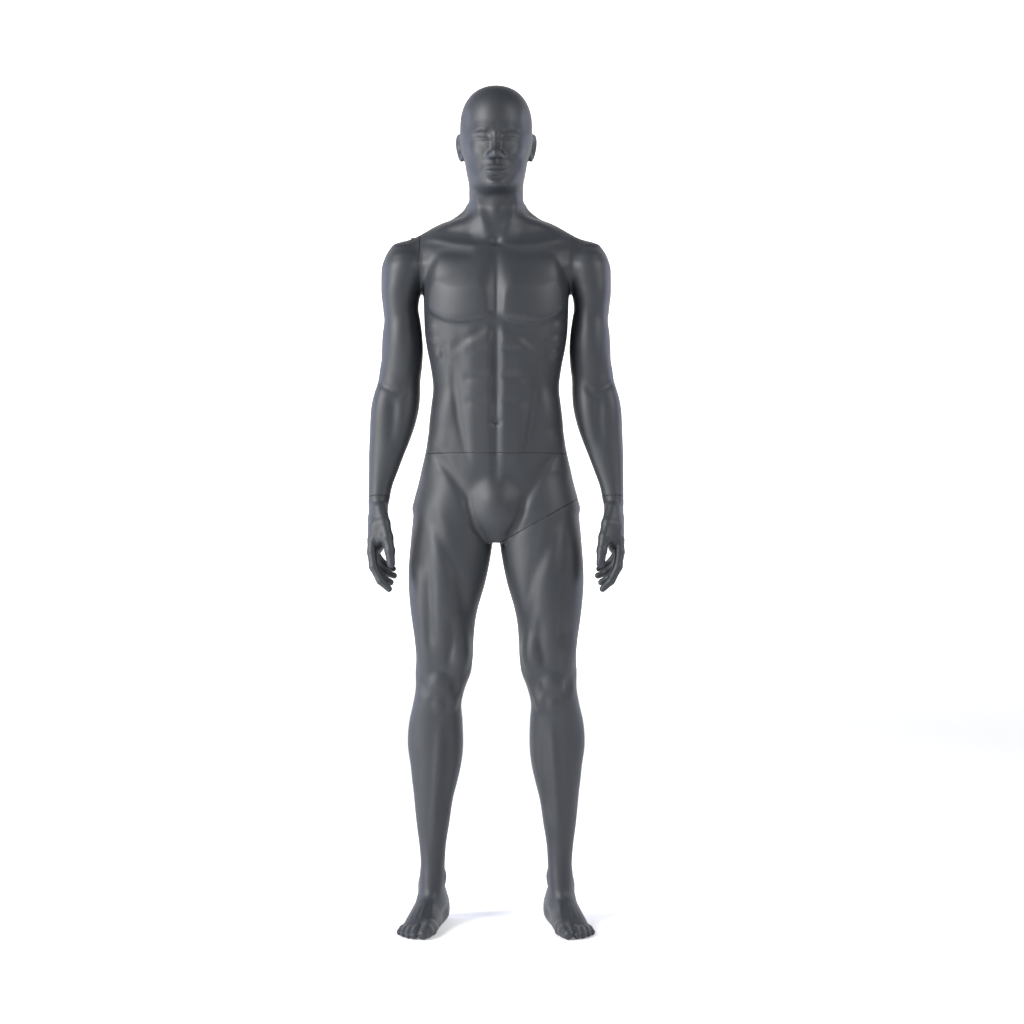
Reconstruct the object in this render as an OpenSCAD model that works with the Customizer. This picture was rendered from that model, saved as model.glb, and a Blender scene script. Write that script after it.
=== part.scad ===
// Full body male mannequin: hollow moulded shells that part at the waist, the right
// shoulder, both wrists and the left leg. Millimetres, +Z up, the figure faces -Y.
// The origin is on the floor, under the middle of the figure.

/* [Shells] */
// Wall of the moulded shells
wall = 4.5; // [3.5:0.5:6]
// Gap left between two shells at a seam
seam_gap = 0.5; // [0.3:0.1:0.8]
// Thickness of the plates that close the shells at the seams
plate_t = 12; // [9:1:15]

/* [Seams] */
// Height of the waist seam
waist_z = 1047; // [1044:1:1050]
// Distance of the shoulder seam from the middle of the body
shoulder_x = 168; // [167:1:170]
// Height of the wrist seams
wrist_z = 950; // [946:1:953]
// Forward lean of the forearms, which the wrist seams are square to
wrist_lean = 11; // [8:1:12]
// Slope of the left leg's seam
leg_slope = 29.2; // [28:0.2:30]

/* [Fittings] */
// Diameter of the waist post
post_d = 32; // [28:1:34]
// Diameter of the shoulder spigot
shoulder_d = 20; // [18:1:22]
// Diameter of the wrist spigots
wrist_d = 12; // [10:1:12]
// Diameter of the leg's locating pins
leg_pin_d = 16; // [12:1:18]
// Bore of the sockets that take the rod of a floor stand
rod_bore_d = 12.5; // [12.5:0.5:13]

/* [Hidden] */

paint = [0.29, 0.30, 0.33];
steel = [0.72, 0.73, 0.75];
nylon = [0.90, 0.89, 0.84];
ply = [0.76, 0.62, 0.43];

eps = 0.01;
half_gap = seam_gap / 2;
// Room between a closing plate and the shell around it
plate_room = 0.4;
// Radial clearance of a shaft that turns in a bush
run_fit = 0.05;
// Room around a fitting in the plate or the shell that holds it
fit_room = 0.6;
// How far a closing plate lies inside its seam
plate_set = 4;
// Length of a cut that goes right through a plate or a flange
through = 120;
far = 3000;
ring_n = 28;
limb_n = 20;

// Station tables. Each row is a level section of the figure:
// [height, inner or left x, outer or right x, front y, back y, squareness]
TORSO = [
    [860, -46, 46, -64, 40, 2.2],
    [888, -128, 128, -82, 104, 2.4],
    [923, -182, 182, -90, 126, 2.4],
    [945, -180, 180, -90, 130, 2.4],
    [976, -174, 174, -89, 122, 2.3],
    [1012, -166, 166, -90, 104, 2.3],
    [1047, -158, 158, -92, 90, 2.3],
    [1083, -150, 150, -93, 80, 2.3],
    [1118, -147, 147, -94, 74, 2.3],
    [1153, -143, 143, -95, 74, 2.3],
    [1189, -139, 139, -97, 82, 2.3],
    [1242, -146, 146, -104, 96, 2.4],
    [1277, -153, 153, -110, 104, 2.5],
    [1312, -158, 158, -118, 112, 2.5],
    [1348, -159, 159, -123, 118, 2.5],
    [1401, -165, 165, -121, 122, 2.5],
    [1436, -172, 172, -110, 124, 2.4],
    [1471, -186, 186, -90, 120, 2.3],
    [1494, -196, 196, -74, 114, 2.2],
    [1512, -194, 194, -62, 106, 2],
    [1533, -167, 167, -54, 98, 2],
    [1547, -142, 142, -50, 94, 2],
    [1560, -113, 113, -46, 90, 2],
    [1573, -85, 85, -44, 86, 2],
    [1588, -68, 68, -42, 80, 2]
];
NECK = [
    [1540, -70, 70, -52, 84, 2],
    [1588, -66, 66, -44, 80, 2],
    [1613, -58, 58, -42, 76, 2],
    [1640, -57, 57, -42, 70, 2],
    [1680, -50, 50, -34, 66, 2]
];
HEAD = [
    [1632, -20, 20, -90, -30, 2],
    [1640, -42, 42, -95, 20, 2.1],
    [1653, -56, 56, -97, 52, 2.2],
    [1672, -64, 64, -97, 72, 2.2],
    [1692, -69, 69, -95, 84, 2.2],
    [1725, -74, 74, -93, 96, 2.2],
    [1759, -77, 77, -91, 100, 2.2],
    [1785, -78, 78, -88, 99, 2.1],
    [1812, -74, 74, -77, 92, 2.1],
    [1828, -67, 67, -66, 84, 2],
    [1842, -53, 53, -50, 70, 2],
    [1854, -33, 33, -28, 48, 2],
    [1860, -8, 8, -4, 22, 2]
];
ARM = [
    [1517, 172, 206, -14, 38, 2],
    [1507, 162, 224, -28, 50, 2.1],
    [1494, 158, 239, -40, 60, 2.2],
    [1471, 160, 247, -52, 68, 2.3],
    [1436, 165, 252, -58, 72, 2.3],
    [1401, 170, 253, -56, 70, 2.3],
    [1365, 172, 250, -50, 66, 2.2],
    [1348, 171, 249, -48, 62, 2.2],
    [1312, 169, 255, -48, 58, 2.2],
    [1277, 169, 256, -46, 56, 2.2],
    [1242, 169, 257, -42, 56, 2.2],
    [1206, 169, 262, -40, 56, 2.2],
    [1189, 169, 267, -41, 54, 2.2],
    [1153, 171, 275, -44, 48, 2.2],
    [1118, 177, 278, -46, 40, 2.2],
    [1083, 188, 279, -47, 30, 2.2],
    [1047, 202, 280, -48, 20, 2.2],
    [1012, 215, 280, -50, 12, 2.2],
    [976, 228, 280, -53, 6, 2.2],
    [930, 236, 280, -60, -2, 2.2]
];
LEG = [
    [1000, 40, 166, -60, 84, 2.2],
    [960, 20, 176, -80, 112, 2.2],
    [923, 12, 184, -86, 122, 2.2],
    [888, 6, 187, -89, 122, 2.2],
    [853, 8, 189, -91, 112, 2.3],
    [817, 13, 191, -94, 102, 2.3],
    [764, 25, 191, -95, 95, 2.3],
    [707, 41, 186, -91, 88, 2.3],
    [636, 49, 179, -80, 78, 2.2],
    [600, 51, 177, -72, 72, 2.2],
    [565, 56, 179, -64, 66, 2.2],
    [530, 69, 179, -60, 62, 2.3],
    [495, 78, 184, -50, 66, 2.2],
    [459, 76, 192, -40, 82, 2.2],
    [406, 74, 195, -31, 98, 2.2],
    [353, 78, 188, -24, 96, 2.2],
    [318, 87, 186, -18, 88, 2.2],
    [282, 96, 183, -12, 78, 2.1],
    [230, 104, 178, -4, 71, 2.1],
    [176, 112, 172, 2, 70, 2.1],
    [140, 113, 171, 2, 74, 2.1],
    [106, 113, 174, -4, 82, 2.1],
    [80, 114, 174, -12, 92, 2.1],
    [50, 112, 176, -16, 100, 2.1]
];
// The crotch's bulge, a level section per row as above
FRONT_BULGE = [
    [856, -26, 26, -74, -10, 2],
    [866, -42, 42, -90, 10, 2.2],
    [888, -54, 54, -102, 20, 2.4],
    [912, -58, 58, -104, 20, 2.4],
    [950, -60, 60, -96, 20, 2.4],
    [985, -50, 50, -88, 20, 2.2]
];
// Upright sections across the foot, from heel to toes:
// [forward of the ankle, inner half width, outer half width, height]
FOOT = [
    [-68, 12, 12, 34],
    [-62, 24, 24, 60],
    [-40, 31, 30, 92],
    [0, 32, 31, 98],
    [30, 33, 33, 88],
    [70, 38, 40, 66],
    [110, 42, 44, 46],
    [138, 44, 42, 34],
    [160, 43, 30, 27],
    [178, 36, 12, 24],
    [184, 26, 0, 16]
];
// The part of the trunk that the shoulder seam cuts
SHOULDERS = [for (r = TORSO) if (r[0] > 1400) r];
// The left arm is free of the body beyond this distance from the middle
arm_free_x = 190;
ankle_x = 143;
ankle_y = 52;
foot_turn = 9;

// Signed power, for a superellipse
function swell(v, p) = sign(v) * pow(abs(v), 2 / p);

// A level section of a row as points, drawn in by a wall thickness
function section(row, inset, n) =
    let (cx = (row[1] + row[2]) / 2, cy = (row[3] + row[4]) / 2)
    let (hx = (row[2] - row[1]) / 2 - inset, hy = (row[4] - row[3]) / 2 - inset)
    [for (i = [0:n - 1])
        let (a = 360 * i / n)
        [cx + hx * swell(cos(a), row[5]), cy + hy * swell(sin(a), row[5]), row[0]]];

// How much a form narrows upwards at a row, as the upward part of its normal
function lift(t, i) =
    let (a = t[max(i - 1, 0)], b = t[min(i + 1, len(t) - 1)])
    let (dw = (a[2] - a[1] - b[2] + b[1] + a[4] - a[3] - b[4] + b[3]) / 4)
    dw / norm([dw, b[0] - a[0]]) * sign(b[0] - a[0]);

// A row moved down under a slope that faces up, so that a wall keeps its thickness
function sunk(t, i, inset) = [
    t[i][0] - inset * lift(t, i), t[i][1], t[i][2], t[i][3], t[i][4], t[i][5]
];

// A solid between two rings of points
module slab(a, b) {
    hull()
        polyhedron(points = concat(a, b), faces = [
            for (i = [0:len(a) - 2]) [i, i + 1, i + len(a)]
        ]);
}

// A table's sections joined one to the next
module loft(t, inset, n) {
    for (i = [0:len(t) - 2])
        slab(section(sunk(t, i, inset), inset, n),
            section(sunk(t, i + 1, inset), inset, n));
}

// An upright foot section: flat below, rounded above its widest level
foot_wide = 0.35;
function foot_section(row, n) = [
    for (i = [0:n - 1])
        let (a = 360 * i / n)
        let (w = cos(a) > 0 ? row[2] : row[1])
        let (under = max(0, 1 + 1.12 * swell(sin(a), 5)))
        let (over = foot_wide + (1 - foot_wide) * sin(a))
        [w * swell(cos(a), 2.5), -row[0], row[3] * (sin(a) < 0 ? foot_wide * under : over)]
];

module foot() {
    translate([ankle_x, ankle_y, 0]) rotate([0, 0, foot_turn])
        for (i = [0:len(FOOT) - 2])
            slab(foot_section(FOOT[i], limb_n), foot_section(FOOT[i + 1], limb_n));
}

module ears() {
    for (side = [-1, 1])
        hull() {
            translate([side * 76, 12, 1738]) scale([0.35, 0.8, 1]) sphere(r = 15, $fn = 16);
            translate([side * 79, 18, 1728]) scale([0.3, 0.8, 1]) sphere(r = 24, $fn = 16);
            translate([side * 76, 8, 1704]) scale([0.4, 1, 1]) sphere(r = 9, $fn = 12);
        }
}

module nose() {
    hull() {
        translate([0, -92, 1752]) sphere(r = 6, $fn = 16);
        translate([0, -108, 1712]) sphere(r = 9, $fn = 16);
        for (side = [-1, 1]) translate([side * 12, -98, 1707]) sphere(r = 7, $fn = 12);
    }
}

// The whole outer or inner form of the trunk, head and one arm
module upper_form(inset, side) {
    loft(TORSO, inset, ring_n);
    loft(NECK, inset, ring_n);
    loft(HEAD, inset, ring_n);
    arm_form(inset, side);
    if (inset == 0) {
        ears();
        nose();
    }
}

module arm_form(inset, side) {
    mirror([side < 0 ? 1 : 0, 0, 0]) loft(ARM, inset, limb_n);
}

module hips_form(inset) {
    loft(TORSO, inset, ring_n);
    if (inset == 0) loft(FRONT_BULGE, 0, limb_n);
}

// Leg, hollow down to the ankle when it is drawn in
module leg_form(inset, side) {
    rows = inset == 0 ? LEG : [for (r = LEG) if (r[0] > 100) r];
    mirror([side < 0 ? 1 : 0, 0, 0]) {
        loft(rows, inset, limb_n);
        if (inset == 0) foot();
    }
}

// Frames of the seams. In each, the seam is the plane z = 0 and +z is the side
// nearer the hips and chest.
wrist_y = -25;
wrist_x = 257;
module wrist_frame(side) {
    mirror([side < 0 ? 1 : 0, 0, 0])
        translate([wrist_x, wrist_y, wrist_z]) rotate([-wrist_lean, 0, 0]) children();
}
leg_seam_x = 103;
leg_seam_z = 905;
module leg_frame() {
    translate([leg_seam_x, 5, leg_seam_z]) rotate([0, -leg_slope, 0]) children();
}
shoulder_y = 8;
shoulder_z = 1456;
module shoulder_frame() {
    translate([-shoulder_x, shoulder_y, shoulder_z]) rotate([0, 90, 0]) children();
}

// A block that fills one side of a seam, from a level up or down
module above(level) {
    translate([-far, -far, level]) cube([2 * far, 2 * far, far]);
}
module below(level) {
    translate([-far, -far, level - far]) cube([2 * far, 2 * far, far]);
}

// ---- Shells and hands ----

module chest_and_head_shell() {
    color(paint) difference() {
        upper_form(0, 1);
        upper_form(wall, 1);
        // below the waist only the arm goes on, down to its wrist
        translate([-far, -far, 0]) cube([far + arm_free_x, 2 * far, waist_z + half_gap]);
        shoulder_room();
        shoulder_frame() below(half_gap);
        wrist_frame(1) below(half_gap);
    }
}

module right_arm_shell() {
    color(paint) difference() {
        intersection() {
            union() {
                loft(SHOULDERS, 0, ring_n);
                arm_form(0, -1);
            }
            shoulder_frame() below(-half_gap);
        }
        arm_form(wall, -1);
        loft(SHOULDERS, wall, ring_n);
        shoulder_room();
        wrist_frame(-1) below(half_gap);
    }
}

module hips_and_right_leg_shell() {
    color(paint) difference() {
        union() {
            hips_form(0);
            leg_form(0, -1);
            leg_form(0, 1);
        }
        hips_form(wall);
        leg_form(wall, -1);
        leg_form(wall, 1);
        above(waist_z - half_gap);
        leg_cut(half_gap);
        foot_rod_frame() cylinder(r = rod_tube_d / 2 + fit_room, h = foot_rod_len + 2, $fn = 32);
        calf_rod_frame() cylinder(r = rod_tube_d / 2 + fit_room, h = through, $fn = 32);
    }
}
// The space on the left leg's side of its seam
module leg_cut(room) {
    intersection() {
        leg_frame() below(room);
        translate([1 - room, -far, 0]) cube([far, 2 * far, waist_z]);
    }
}

module left_leg_shell() {
    color(paint) difference() {
        intersection() {
            union() {
                hips_form(0);
                leg_form(0, 1);
            }
            leg_frame() below(-half_gap);
            translate([1, -far, 0]) cube([far, 2 * far, waist_z]);
        }
        leg_form(wall, 1);
        hips_form(wall);
    }
}

// A finger or thumb as a chain of round joints: rows are [x, y, z, radius]
module finger(joints) {
    for (i = [0:len(joints) - 2])
        hull() {
            translate([joints[i][0], joints[i][1], joints[i][2]])
                sphere(r = joints[i][3], $fn = 12);
            translate([joints[i + 1][0], joints[i + 1][1], joints[i + 1][2]])
                sphere(r = joints[i + 1][3], $fn = 12);
        }
}

// Level sections of the palm, in the wrist frame
PALM = [
    [2, -22, 22, -30, 28, 2.2],
    [-20, -20, 22, -34, 30, 2.2],
    [-45, -17, 22, -40, 36, 2.3],
    [-75, -14, 21, -42, 42, 2.4],
    [-98, -8, 20, -40, 42, 2.4],
    [-108, -2, 16, -34, 38, 2.2]
];
// Joints of the four fingers, index first, and of the thumb, in the wrist frame
FINGERS = [
    [[11, -30, -98, 10.5], [15, -33, -140, 9.5], [8, -32, -166, 8.5], [-4, -30, -184, 7]],
    [[10, -9, -102, 10.5], [13, -10, -148, 9.5], [2, -8, -176, 8.5], [-12, -7, -192, 7]],
    [[9, 12, -100, 10.5], [10, 13, -144, 9.5], [-3, 14, -170, 8.5], [-17, 14, -182, 7]],
    [[7, 32, -94, 9.5], [5, 34, -130, 8.5], [-7, 33, -150, 7.5], [-18, 32, -160, 6.5]]
];
THUMB = [[-8, -30, -28, 13], [-20, -44, -64, 12], [-28, -48, -100, 10.5], [-27, -46, -132, 7.5]];

module hand(side) {
    color(paint) wrist_frame(side) difference() {
        intersection() {
            union() {
                loft(PALM, 0, limb_n);
                for (joints = FINGERS) finger(joints);
                finger(THUMB);
            }
            below(-half_gap);
        }
        translate([0, 0, -wrist_recess]) cylinder(r = wrist_flange_r + fit_room, h = far, $fn = 32);
        translate([0, 0, -wrist_peg - 6])
            linear_extrude(far) square(wrist_socket_w + 2 * fit_room, center = true);
    }
}
module right_hand() { hand(-1); }
module left_hand() { hand(1); }

// ---- Plates that close the shells ----

module chest_waist_plate() {
    color(ply) difference() {
        intersection() {
            loft(TORSO, wall + plate_room, ring_n);
            translate([-far, -far, waist_z + plate_set]) cube([2 * far, 2 * far, plate_t]);
        }
        translate([0, 0, waist_z]) screw_holes(post_screw_r, 4);
    }
}

module hip_waist_plate() {
    color(ply) difference() {
        intersection() {
            loft(TORSO, wall + plate_room, ring_n);
            translate([-far, -far, waist_z - plate_set - plate_t])
                cube([2 * far, 2 * far, plate_t]);
        }
        translate([0, 0, waist_z - through / 2])
            cylinder(r = socket_r + fit_room, h = through, $fn = 48);
        translate([0, 0, waist_z]) screw_holes(post_screw_r, 4);
    }
}

// The plates at the shoulder are oval, in the shoulder frame
plate_half_y = 30;
plate_half_z = 34;
module shoulder_outline(room) {
    polygon([for (i = [0:47])
        [(plate_half_z + room) * swell(cos(i * 7.5), 2.3),
            (plate_half_y + room) * swell(sin(i * 7.5), 2.3)]]);
}
module shoulder_plate(level, hole_r) {
    translate([0, 0, level]) difference() {
        linear_extrude(plate_t) shoulder_outline(0);
        translate([0, 0, -through / 2]) cylinder(r = hole_r, h = through, $fn = 48);
        screw_holes(shoulder_screw_r, 4);
    }
}
module chest_shoulder_plate() {
    color(ply) shoulder_frame() shoulder_plate(plate_set, shoulder_tube_r + fit_room);
}
module arm_shoulder_plate() {
    color(ply) shoulder_frame() shoulder_plate(-plate_set - plate_t, arm_socket_w * 0.72);
}
// The room that the shells leave around both plates and their fittings
module shoulder_room() {
    depth = plate_set + plate_t + plate_room;
    shoulder_frame() {
        translate([0, 0, -depth]) linear_extrude(2 * depth) shoulder_outline(plate_room);
        translate([0, 0, -arm_peg_len - 6])
            cylinder(r = arm_socket_w * 0.72, h = arm_peg_len + bush_len + 16, $fn = 48);
    }
}

// Distance from the middle of the body to the inner edge of the leg's plates
leg_plate_x = 24;
module leg_plate_form(level) {
    intersection() {
        union() {
            loft(TORSO, wall + plate_room, ring_n);
            leg_form(wall + plate_room, 1);
        }
        leg_frame() translate([-far, -far, level]) cube([2 * far, 2 * far, plate_t]);
        translate([leg_plate_x, -far, 0]) cube([far, 2 * far, far]);
    }
}
module hip_leg_plate() {
    color(ply) difference() {
        leg_plate_form(plate_set);
        leg_frame() leg_fitting_holes(leg_tube_r + fit_room);
    }
}
module leg_seam_plate() {
    color(ply) difference() {
        leg_plate_form(-plate_set - plate_t);
        leg_frame() leg_fitting_holes(leg_pin_d / 2 + fit_room);
    }
}
module leg_fitting_holes(r) {
    for (x = [-1, 1])
        translate([x * leg_pin_x, 0, -through / 2]) cylinder(r = r, h = through, $fn = 32);
    translate([0, 0, -through / 2]) cylinder(r = magnet_r + fit_room, h = through, $fn = 32);
}

// ---- Screws ----

screw_shank_r = 2.4;
screw_hole_r = 2.7;
screw_head_r = 4.6;
module screw_holes(circle_r, count) {
    for (i = [0:count - 1]) rotate([0, 0, 45 + i * 360 / count])
        translate([circle_r, 0, -through / 2]) cylinder(r = screw_hole_r, h = through, $fn = 24);
}
// Countersunk holes in a flange whose outer face is z = 0 and which lies below it
module sunk_holes(circle_r, count) {
    for (i = [0:count - 1]) rotate([0, 0, 45 + i * 360 / count])
        translate([circle_r, 0, 0]) {
            translate([0, 0, -10]) cylinder(r = screw_hole_r, h = 20, $fn = 24);
            translate([0, 0, -2.5])
                cylinder(r1 = screw_hole_r, r2 = screw_head_r + 0.2, h = 2.6, $fn = 32);
        }
}
// Countersunk screws that go down from z = 0
module screws(circle_r, count, length) {
    color(steel) for (i = [0:count - 1]) rotate([0, 0, 45 + i * 360 / count])
        translate([circle_r, 0, 0]) difference() {
            union() {
                translate([0, 0, -length]) cylinder(r = screw_shank_r, h = length - 2, $fn = 32);
                translate([0, 0, -2.5])
                    cylinder(r1 = screw_shank_r, r2 = screw_head_r - 0.2, h = 2.2, $fn = 32);
            }
            translate([-3, -0.5, -1.2]) cube([6, 1, 2]);
            translate([-0.5, -3, -1.2]) cube([1, 6, 2]);
        }
}

// ---- Waist fitting ----

socket_r = post_d / 2 + 5;
waist_flange_r = 46;
post_screw_r = 37;
washer_t = 1.9;
post_len = 58;
flange_t = 3;

module waist_post() {
    color(steel) translate([0, 0, waist_z + 1]) difference() {
        union() {
            cylinder(r = waist_flange_r, h = flange_t, $fn = 96);
            translate([0, 0, -post_len + 3]) cylinder(r = post_d / 2, h = post_len - 2, $fn = 64);
            translate([0, 0, -post_len])
                cylinder(r1 = post_d / 2 - 3, r2 = post_d / 2, h = 3 + eps, $fn = 64);
        }
        mirror([0, 0, 1]) sunk_holes(post_screw_r, 4);
    }
}
module waist_slip_washer() {
    color(nylon) translate([0, 0, waist_z - washer_t / 2]) difference() {
        cylinder(r = 28, h = washer_t, $fn = 64);
        translate([0, 0, -1]) cylinder(r = post_d / 2 + 0.3, h = 4, $fn = 64);
    }
}
module waist_socket() {
    color(steel) translate([0, 0, waist_z - 1]) difference() {
        union() {
            translate([0, 0, -flange_t]) cylinder(r = waist_flange_r, h = flange_t, $fn = 96);
            translate([0, 0, -post_len - 4]) cylinder(r = socket_r, h = post_len + 2, $fn = 64);
        }
        translate([0, 0, -post_len - 10]) cylinder(r = post_d / 2 + run_fit, h = through, $fn = 64);
        sunk_holes(post_screw_r, 4);
    }
}
module waist_post_screws() {
    translate([0, 0, waist_z + 1]) mirror([0, 0, 1]) screws(post_screw_r, 4, 14);
}
module waist_socket_screws() {
    translate([0, 0, waist_z - 1]) screws(post_screw_r, 4, 14);
}

// ---- Shoulder fitting, in the shoulder frame: +z runs into the chest ----

shoulder_tube_r = shoulder_d / 2 + 5;
shoulder_flange_r = 26.5;
shoulder_screw_r = 21.2;
collar_r = 15.5;
collar_t = 1.8;
bush_len = 36;
clip_t = 1.2;
arm_peg_w = 14;
arm_peg_len = 28;
arm_socket_w = 24;

module shoulder_bush() {
    color(steel) shoulder_frame() difference() {
        union() {
            translate([0, 0, 1]) cylinder(r = shoulder_flange_r, h = flange_t, $fn = 64);
            translate([0, 0, 2]) cylinder(r = shoulder_tube_r, h = bush_len - 2, $fn = 64);
        }
        translate([0, 0, -1]) cylinder(r = shoulder_d / 2 + run_fit, h = through, $fn = 64);
        translate([0, 0, 1]) mirror([0, 0, 1]) sunk_holes(shoulder_screw_r, 4);
    }
}
module shoulder_spigot() {
    color(steel) shoulder_frame() difference() {
        union() {
            cylinder(r = shoulder_d / 2, h = bush_len + 4, $fn = 64);
            translate([0, 0, -collar_t / 2]) cylinder(r = collar_r, h = collar_t, $fn = 64);
            translate([-arm_peg_w / 2, -arm_peg_w / 2, -arm_peg_len])
                cube([arm_peg_w, arm_peg_w, arm_peg_len]);
        }
        translate([0, 0, bush_len + 0.05]) difference() {
            cylinder(r = shoulder_d, h = clip_t + 0.1, $fn = 64);
            translate([0, 0, -1]) cylinder(r = shoulder_d / 2 - 1.5, h = 4, $fn = 64);
        }
    }
}
module shoulder_circlip() {
    color(steel) shoulder_frame() translate([0, 0, bush_len + 0.1])
        circlip(shoulder_d / 2 - 1.4, shoulder_d / 2 + 3);
}
// An open snap ring with a gap on one side
module circlip(inner_r, outer_r) {
    difference() {
        cylinder(r = outer_r, h = clip_t, $fn = 48);
        translate([0, 0, -1]) cylinder(r = inner_r, h = 4, $fn = 48);
        translate([0, -inner_r * 0.5, -1]) cube([outer_r * 2, inner_r, 4]);
    }
}
// A flange with a square tube, whose flange face is z = 0 and which lies below it
module square_socket(flange_r, tube_w, peg_w, length) {
    difference() {
        union() {
            translate([0, 0, -flange_t]) cylinder(r = flange_r, h = flange_t, $fn = 64);
            translate([-tube_w / 2, -tube_w / 2, -length]) cube([tube_w, tube_w, length - 1]);
        }
        translate([-peg_w / 2, -peg_w / 2, -length - 1]) cube([peg_w, peg_w, length + 2]);
    }
}
module arm_socket() {
    color(steel) shoulder_frame() translate([0, 0, -1]) difference() {
        square_socket(shoulder_flange_r, arm_socket_w, arm_peg_w + 0.1, arm_peg_len + 2);
        sunk_holes(shoulder_screw_r, 4);
    }
}
module shoulder_bush_screws() {
    shoulder_frame() translate([0, 0, 1]) mirror([0, 0, 1]) screws(shoulder_screw_r, 4, 13);
}
module arm_socket_screws() {
    shoulder_frame() translate([0, 0, -1]) screws(shoulder_screw_r, 4, 13);
}

// ---- Wrist fittings, in the wrist frame: +z runs up the forearm ----

wrist_plate_t = 8;
wrist_flange_r = 12;
wrist_tube_r = wrist_d / 2 + 3;
wrist_bush_len = 28;
wrist_collar_r = 9;
wrist_peg_w = 8;
wrist_peg = 24;
wrist_socket_w = 13;
wrist_recess = 1 + flange_t + 0.4;

module wrist_plate(side) {
    color(ply) difference() {
        intersection() {
            mirror([side < 0 ? 1 : 0, 0, 0]) loft(ARM, wall + plate_room, limb_n);
            wrist_frame(side) translate([-far, -far, plate_set])
                cube([2 * far, 2 * far, wrist_plate_t]);
        }
        wrist_frame(side) cylinder(r = wrist_tube_r + fit_room, h = through, $fn = 32);
    }
}
module wrist_bush(side) {
    color(steel) wrist_frame(side) difference() {
        union() {
            translate([0, 0, 1]) cylinder(r = wrist_flange_r, h = flange_t - 0.1, $fn = 48);
            translate([0, 0, 2]) cylinder(r = wrist_tube_r, h = wrist_bush_len - 2, $fn = 48);
        }
        translate([0, 0, -1]) cylinder(r = wrist_d / 2 + run_fit, h = through, $fn = 48);
    }
}
module wrist_spigot(side) {
    color(steel) wrist_frame(side) difference() {
        union() {
            cylinder(r = wrist_d / 2, h = wrist_bush_len + 4, $fn = 48);
            translate([0, 0, -collar_t / 2]) cylinder(r = wrist_collar_r, h = collar_t, $fn = 48);
            translate([-wrist_peg_w / 2, -wrist_peg_w / 2, -wrist_peg])
                cube([wrist_peg_w, wrist_peg_w, wrist_peg]);
        }
        translate([0, 0, wrist_bush_len + 0.05]) difference() {
            cylinder(r = wrist_d, h = clip_t + 0.1, $fn = 48);
            translate([0, 0, -1]) cylinder(r = wrist_d / 2 - 1, h = 4, $fn = 48);
        }
    }
}
module wrist_circlip(side) {
    color(steel) wrist_frame(side) translate([0, 0, wrist_bush_len + 0.1])
        circlip(wrist_d / 2 - 0.9, wrist_d / 2 + 2);
}
module hand_socket(side) {
    color(steel) wrist_frame(side) translate([0, 0, -1])
        square_socket(wrist_flange_r, wrist_socket_w, wrist_peg_w + 0.1, wrist_peg + 2);
}
module right_wrist_plate() { wrist_plate(-1); }
module right_wrist_bush() { wrist_bush(-1); }
module right_wrist_spigot() { wrist_spigot(-1); }
module right_wrist_circlip() { wrist_circlip(-1); }
module right_hand_socket() { hand_socket(-1); }
module left_wrist_plate() { wrist_plate(1); }
module left_wrist_bush() { wrist_bush(1); }
module left_wrist_spigot() { wrist_spigot(1); }
module left_wrist_circlip() { wrist_circlip(1); }
module left_hand_socket() { hand_socket(1); }

// ---- Leg fittings, in the leg frame: +z runs into the hips ----

leg_pin_x = 44;
leg_tube_r = leg_pin_d / 2 + 3;
leg_flange_r = 18;
leg_pin_len = 26;
magnet_r = 15;

// Two pins fixed in the leg's plate, one to each side of the magnet
module leg_pins() {
    color(steel) leg_frame() for (x = [-1, 1]) translate([x * leg_pin_x, 0, 0]) {
        translate([0, 0, -plate_set]) cylinder(r = leg_flange_r, h = flange_t, $fn = 48);
        translate([0, 0, -plate_set - plate_t])
            cylinder(r = leg_pin_d / 2, h = plate_t + leg_pin_len, $fn = 48);
        translate([0, 0, leg_pin_len - plate_set - eps])
            cylinder(r1 = leg_pin_d / 2, r2 = leg_pin_d / 2 - 3, h = 3, $fn = 48);
    }
}
module leg_pin_sockets() {
    color(steel) leg_frame() for (x = [-1, 1]) translate([x * leg_pin_x, 0, 0]) difference() {
        union() {
            translate([0, 0, 1]) cylinder(r = leg_flange_r, h = flange_t, $fn = 48);
            translate([0, 0, 2]) cylinder(r = leg_tube_r, h = leg_pin_len, $fn = 48);
        }
        translate([0, 0, -1]) cylinder(r = leg_pin_d / 2 + run_fit, h = through, $fn = 48);
    }
}
module leg_magnet() {
    color(steel) leg_frame() translate([0, 0, 0.6]) cylinder(r = magnet_r, h = 3 + plate_t, $fn = 64);
}
module leg_magnet_keeper() {
    color(steel) leg_frame() translate([0, 0, -3.6 - plate_t])
        cylinder(r = magnet_r, h = 3 + plate_t, $fn = 64);
}

// ---- Sockets for the rod of a floor stand ----

rod_tube_d = 18;
foot_rod_len = 62;
calf_rod_len = 30;
calf_rod_z = 340;
module foot_rod_frame() {
    translate([-ankle_x, ankle_y - 6, 0]) children();
}
module calf_rod_frame() {
    translate([-134, 62, calf_rod_z]) rotate([-90, 0, 0]) children();
}
module rod_tube(length) {
    difference() {
        cylinder(r = rod_tube_d / 2, h = length, $fn = 48);
        translate([0, 0, -1]) cylinder(r = rod_bore_d / 2, h = length + 2, $fn = 48);
    }
}
module foot_rod_socket() { color(steel) foot_rod_frame() rod_tube(foot_rod_len); }
module calf_rod_socket() { color(steel) calf_rod_frame() rod_tube(calf_rod_len); }

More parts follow.
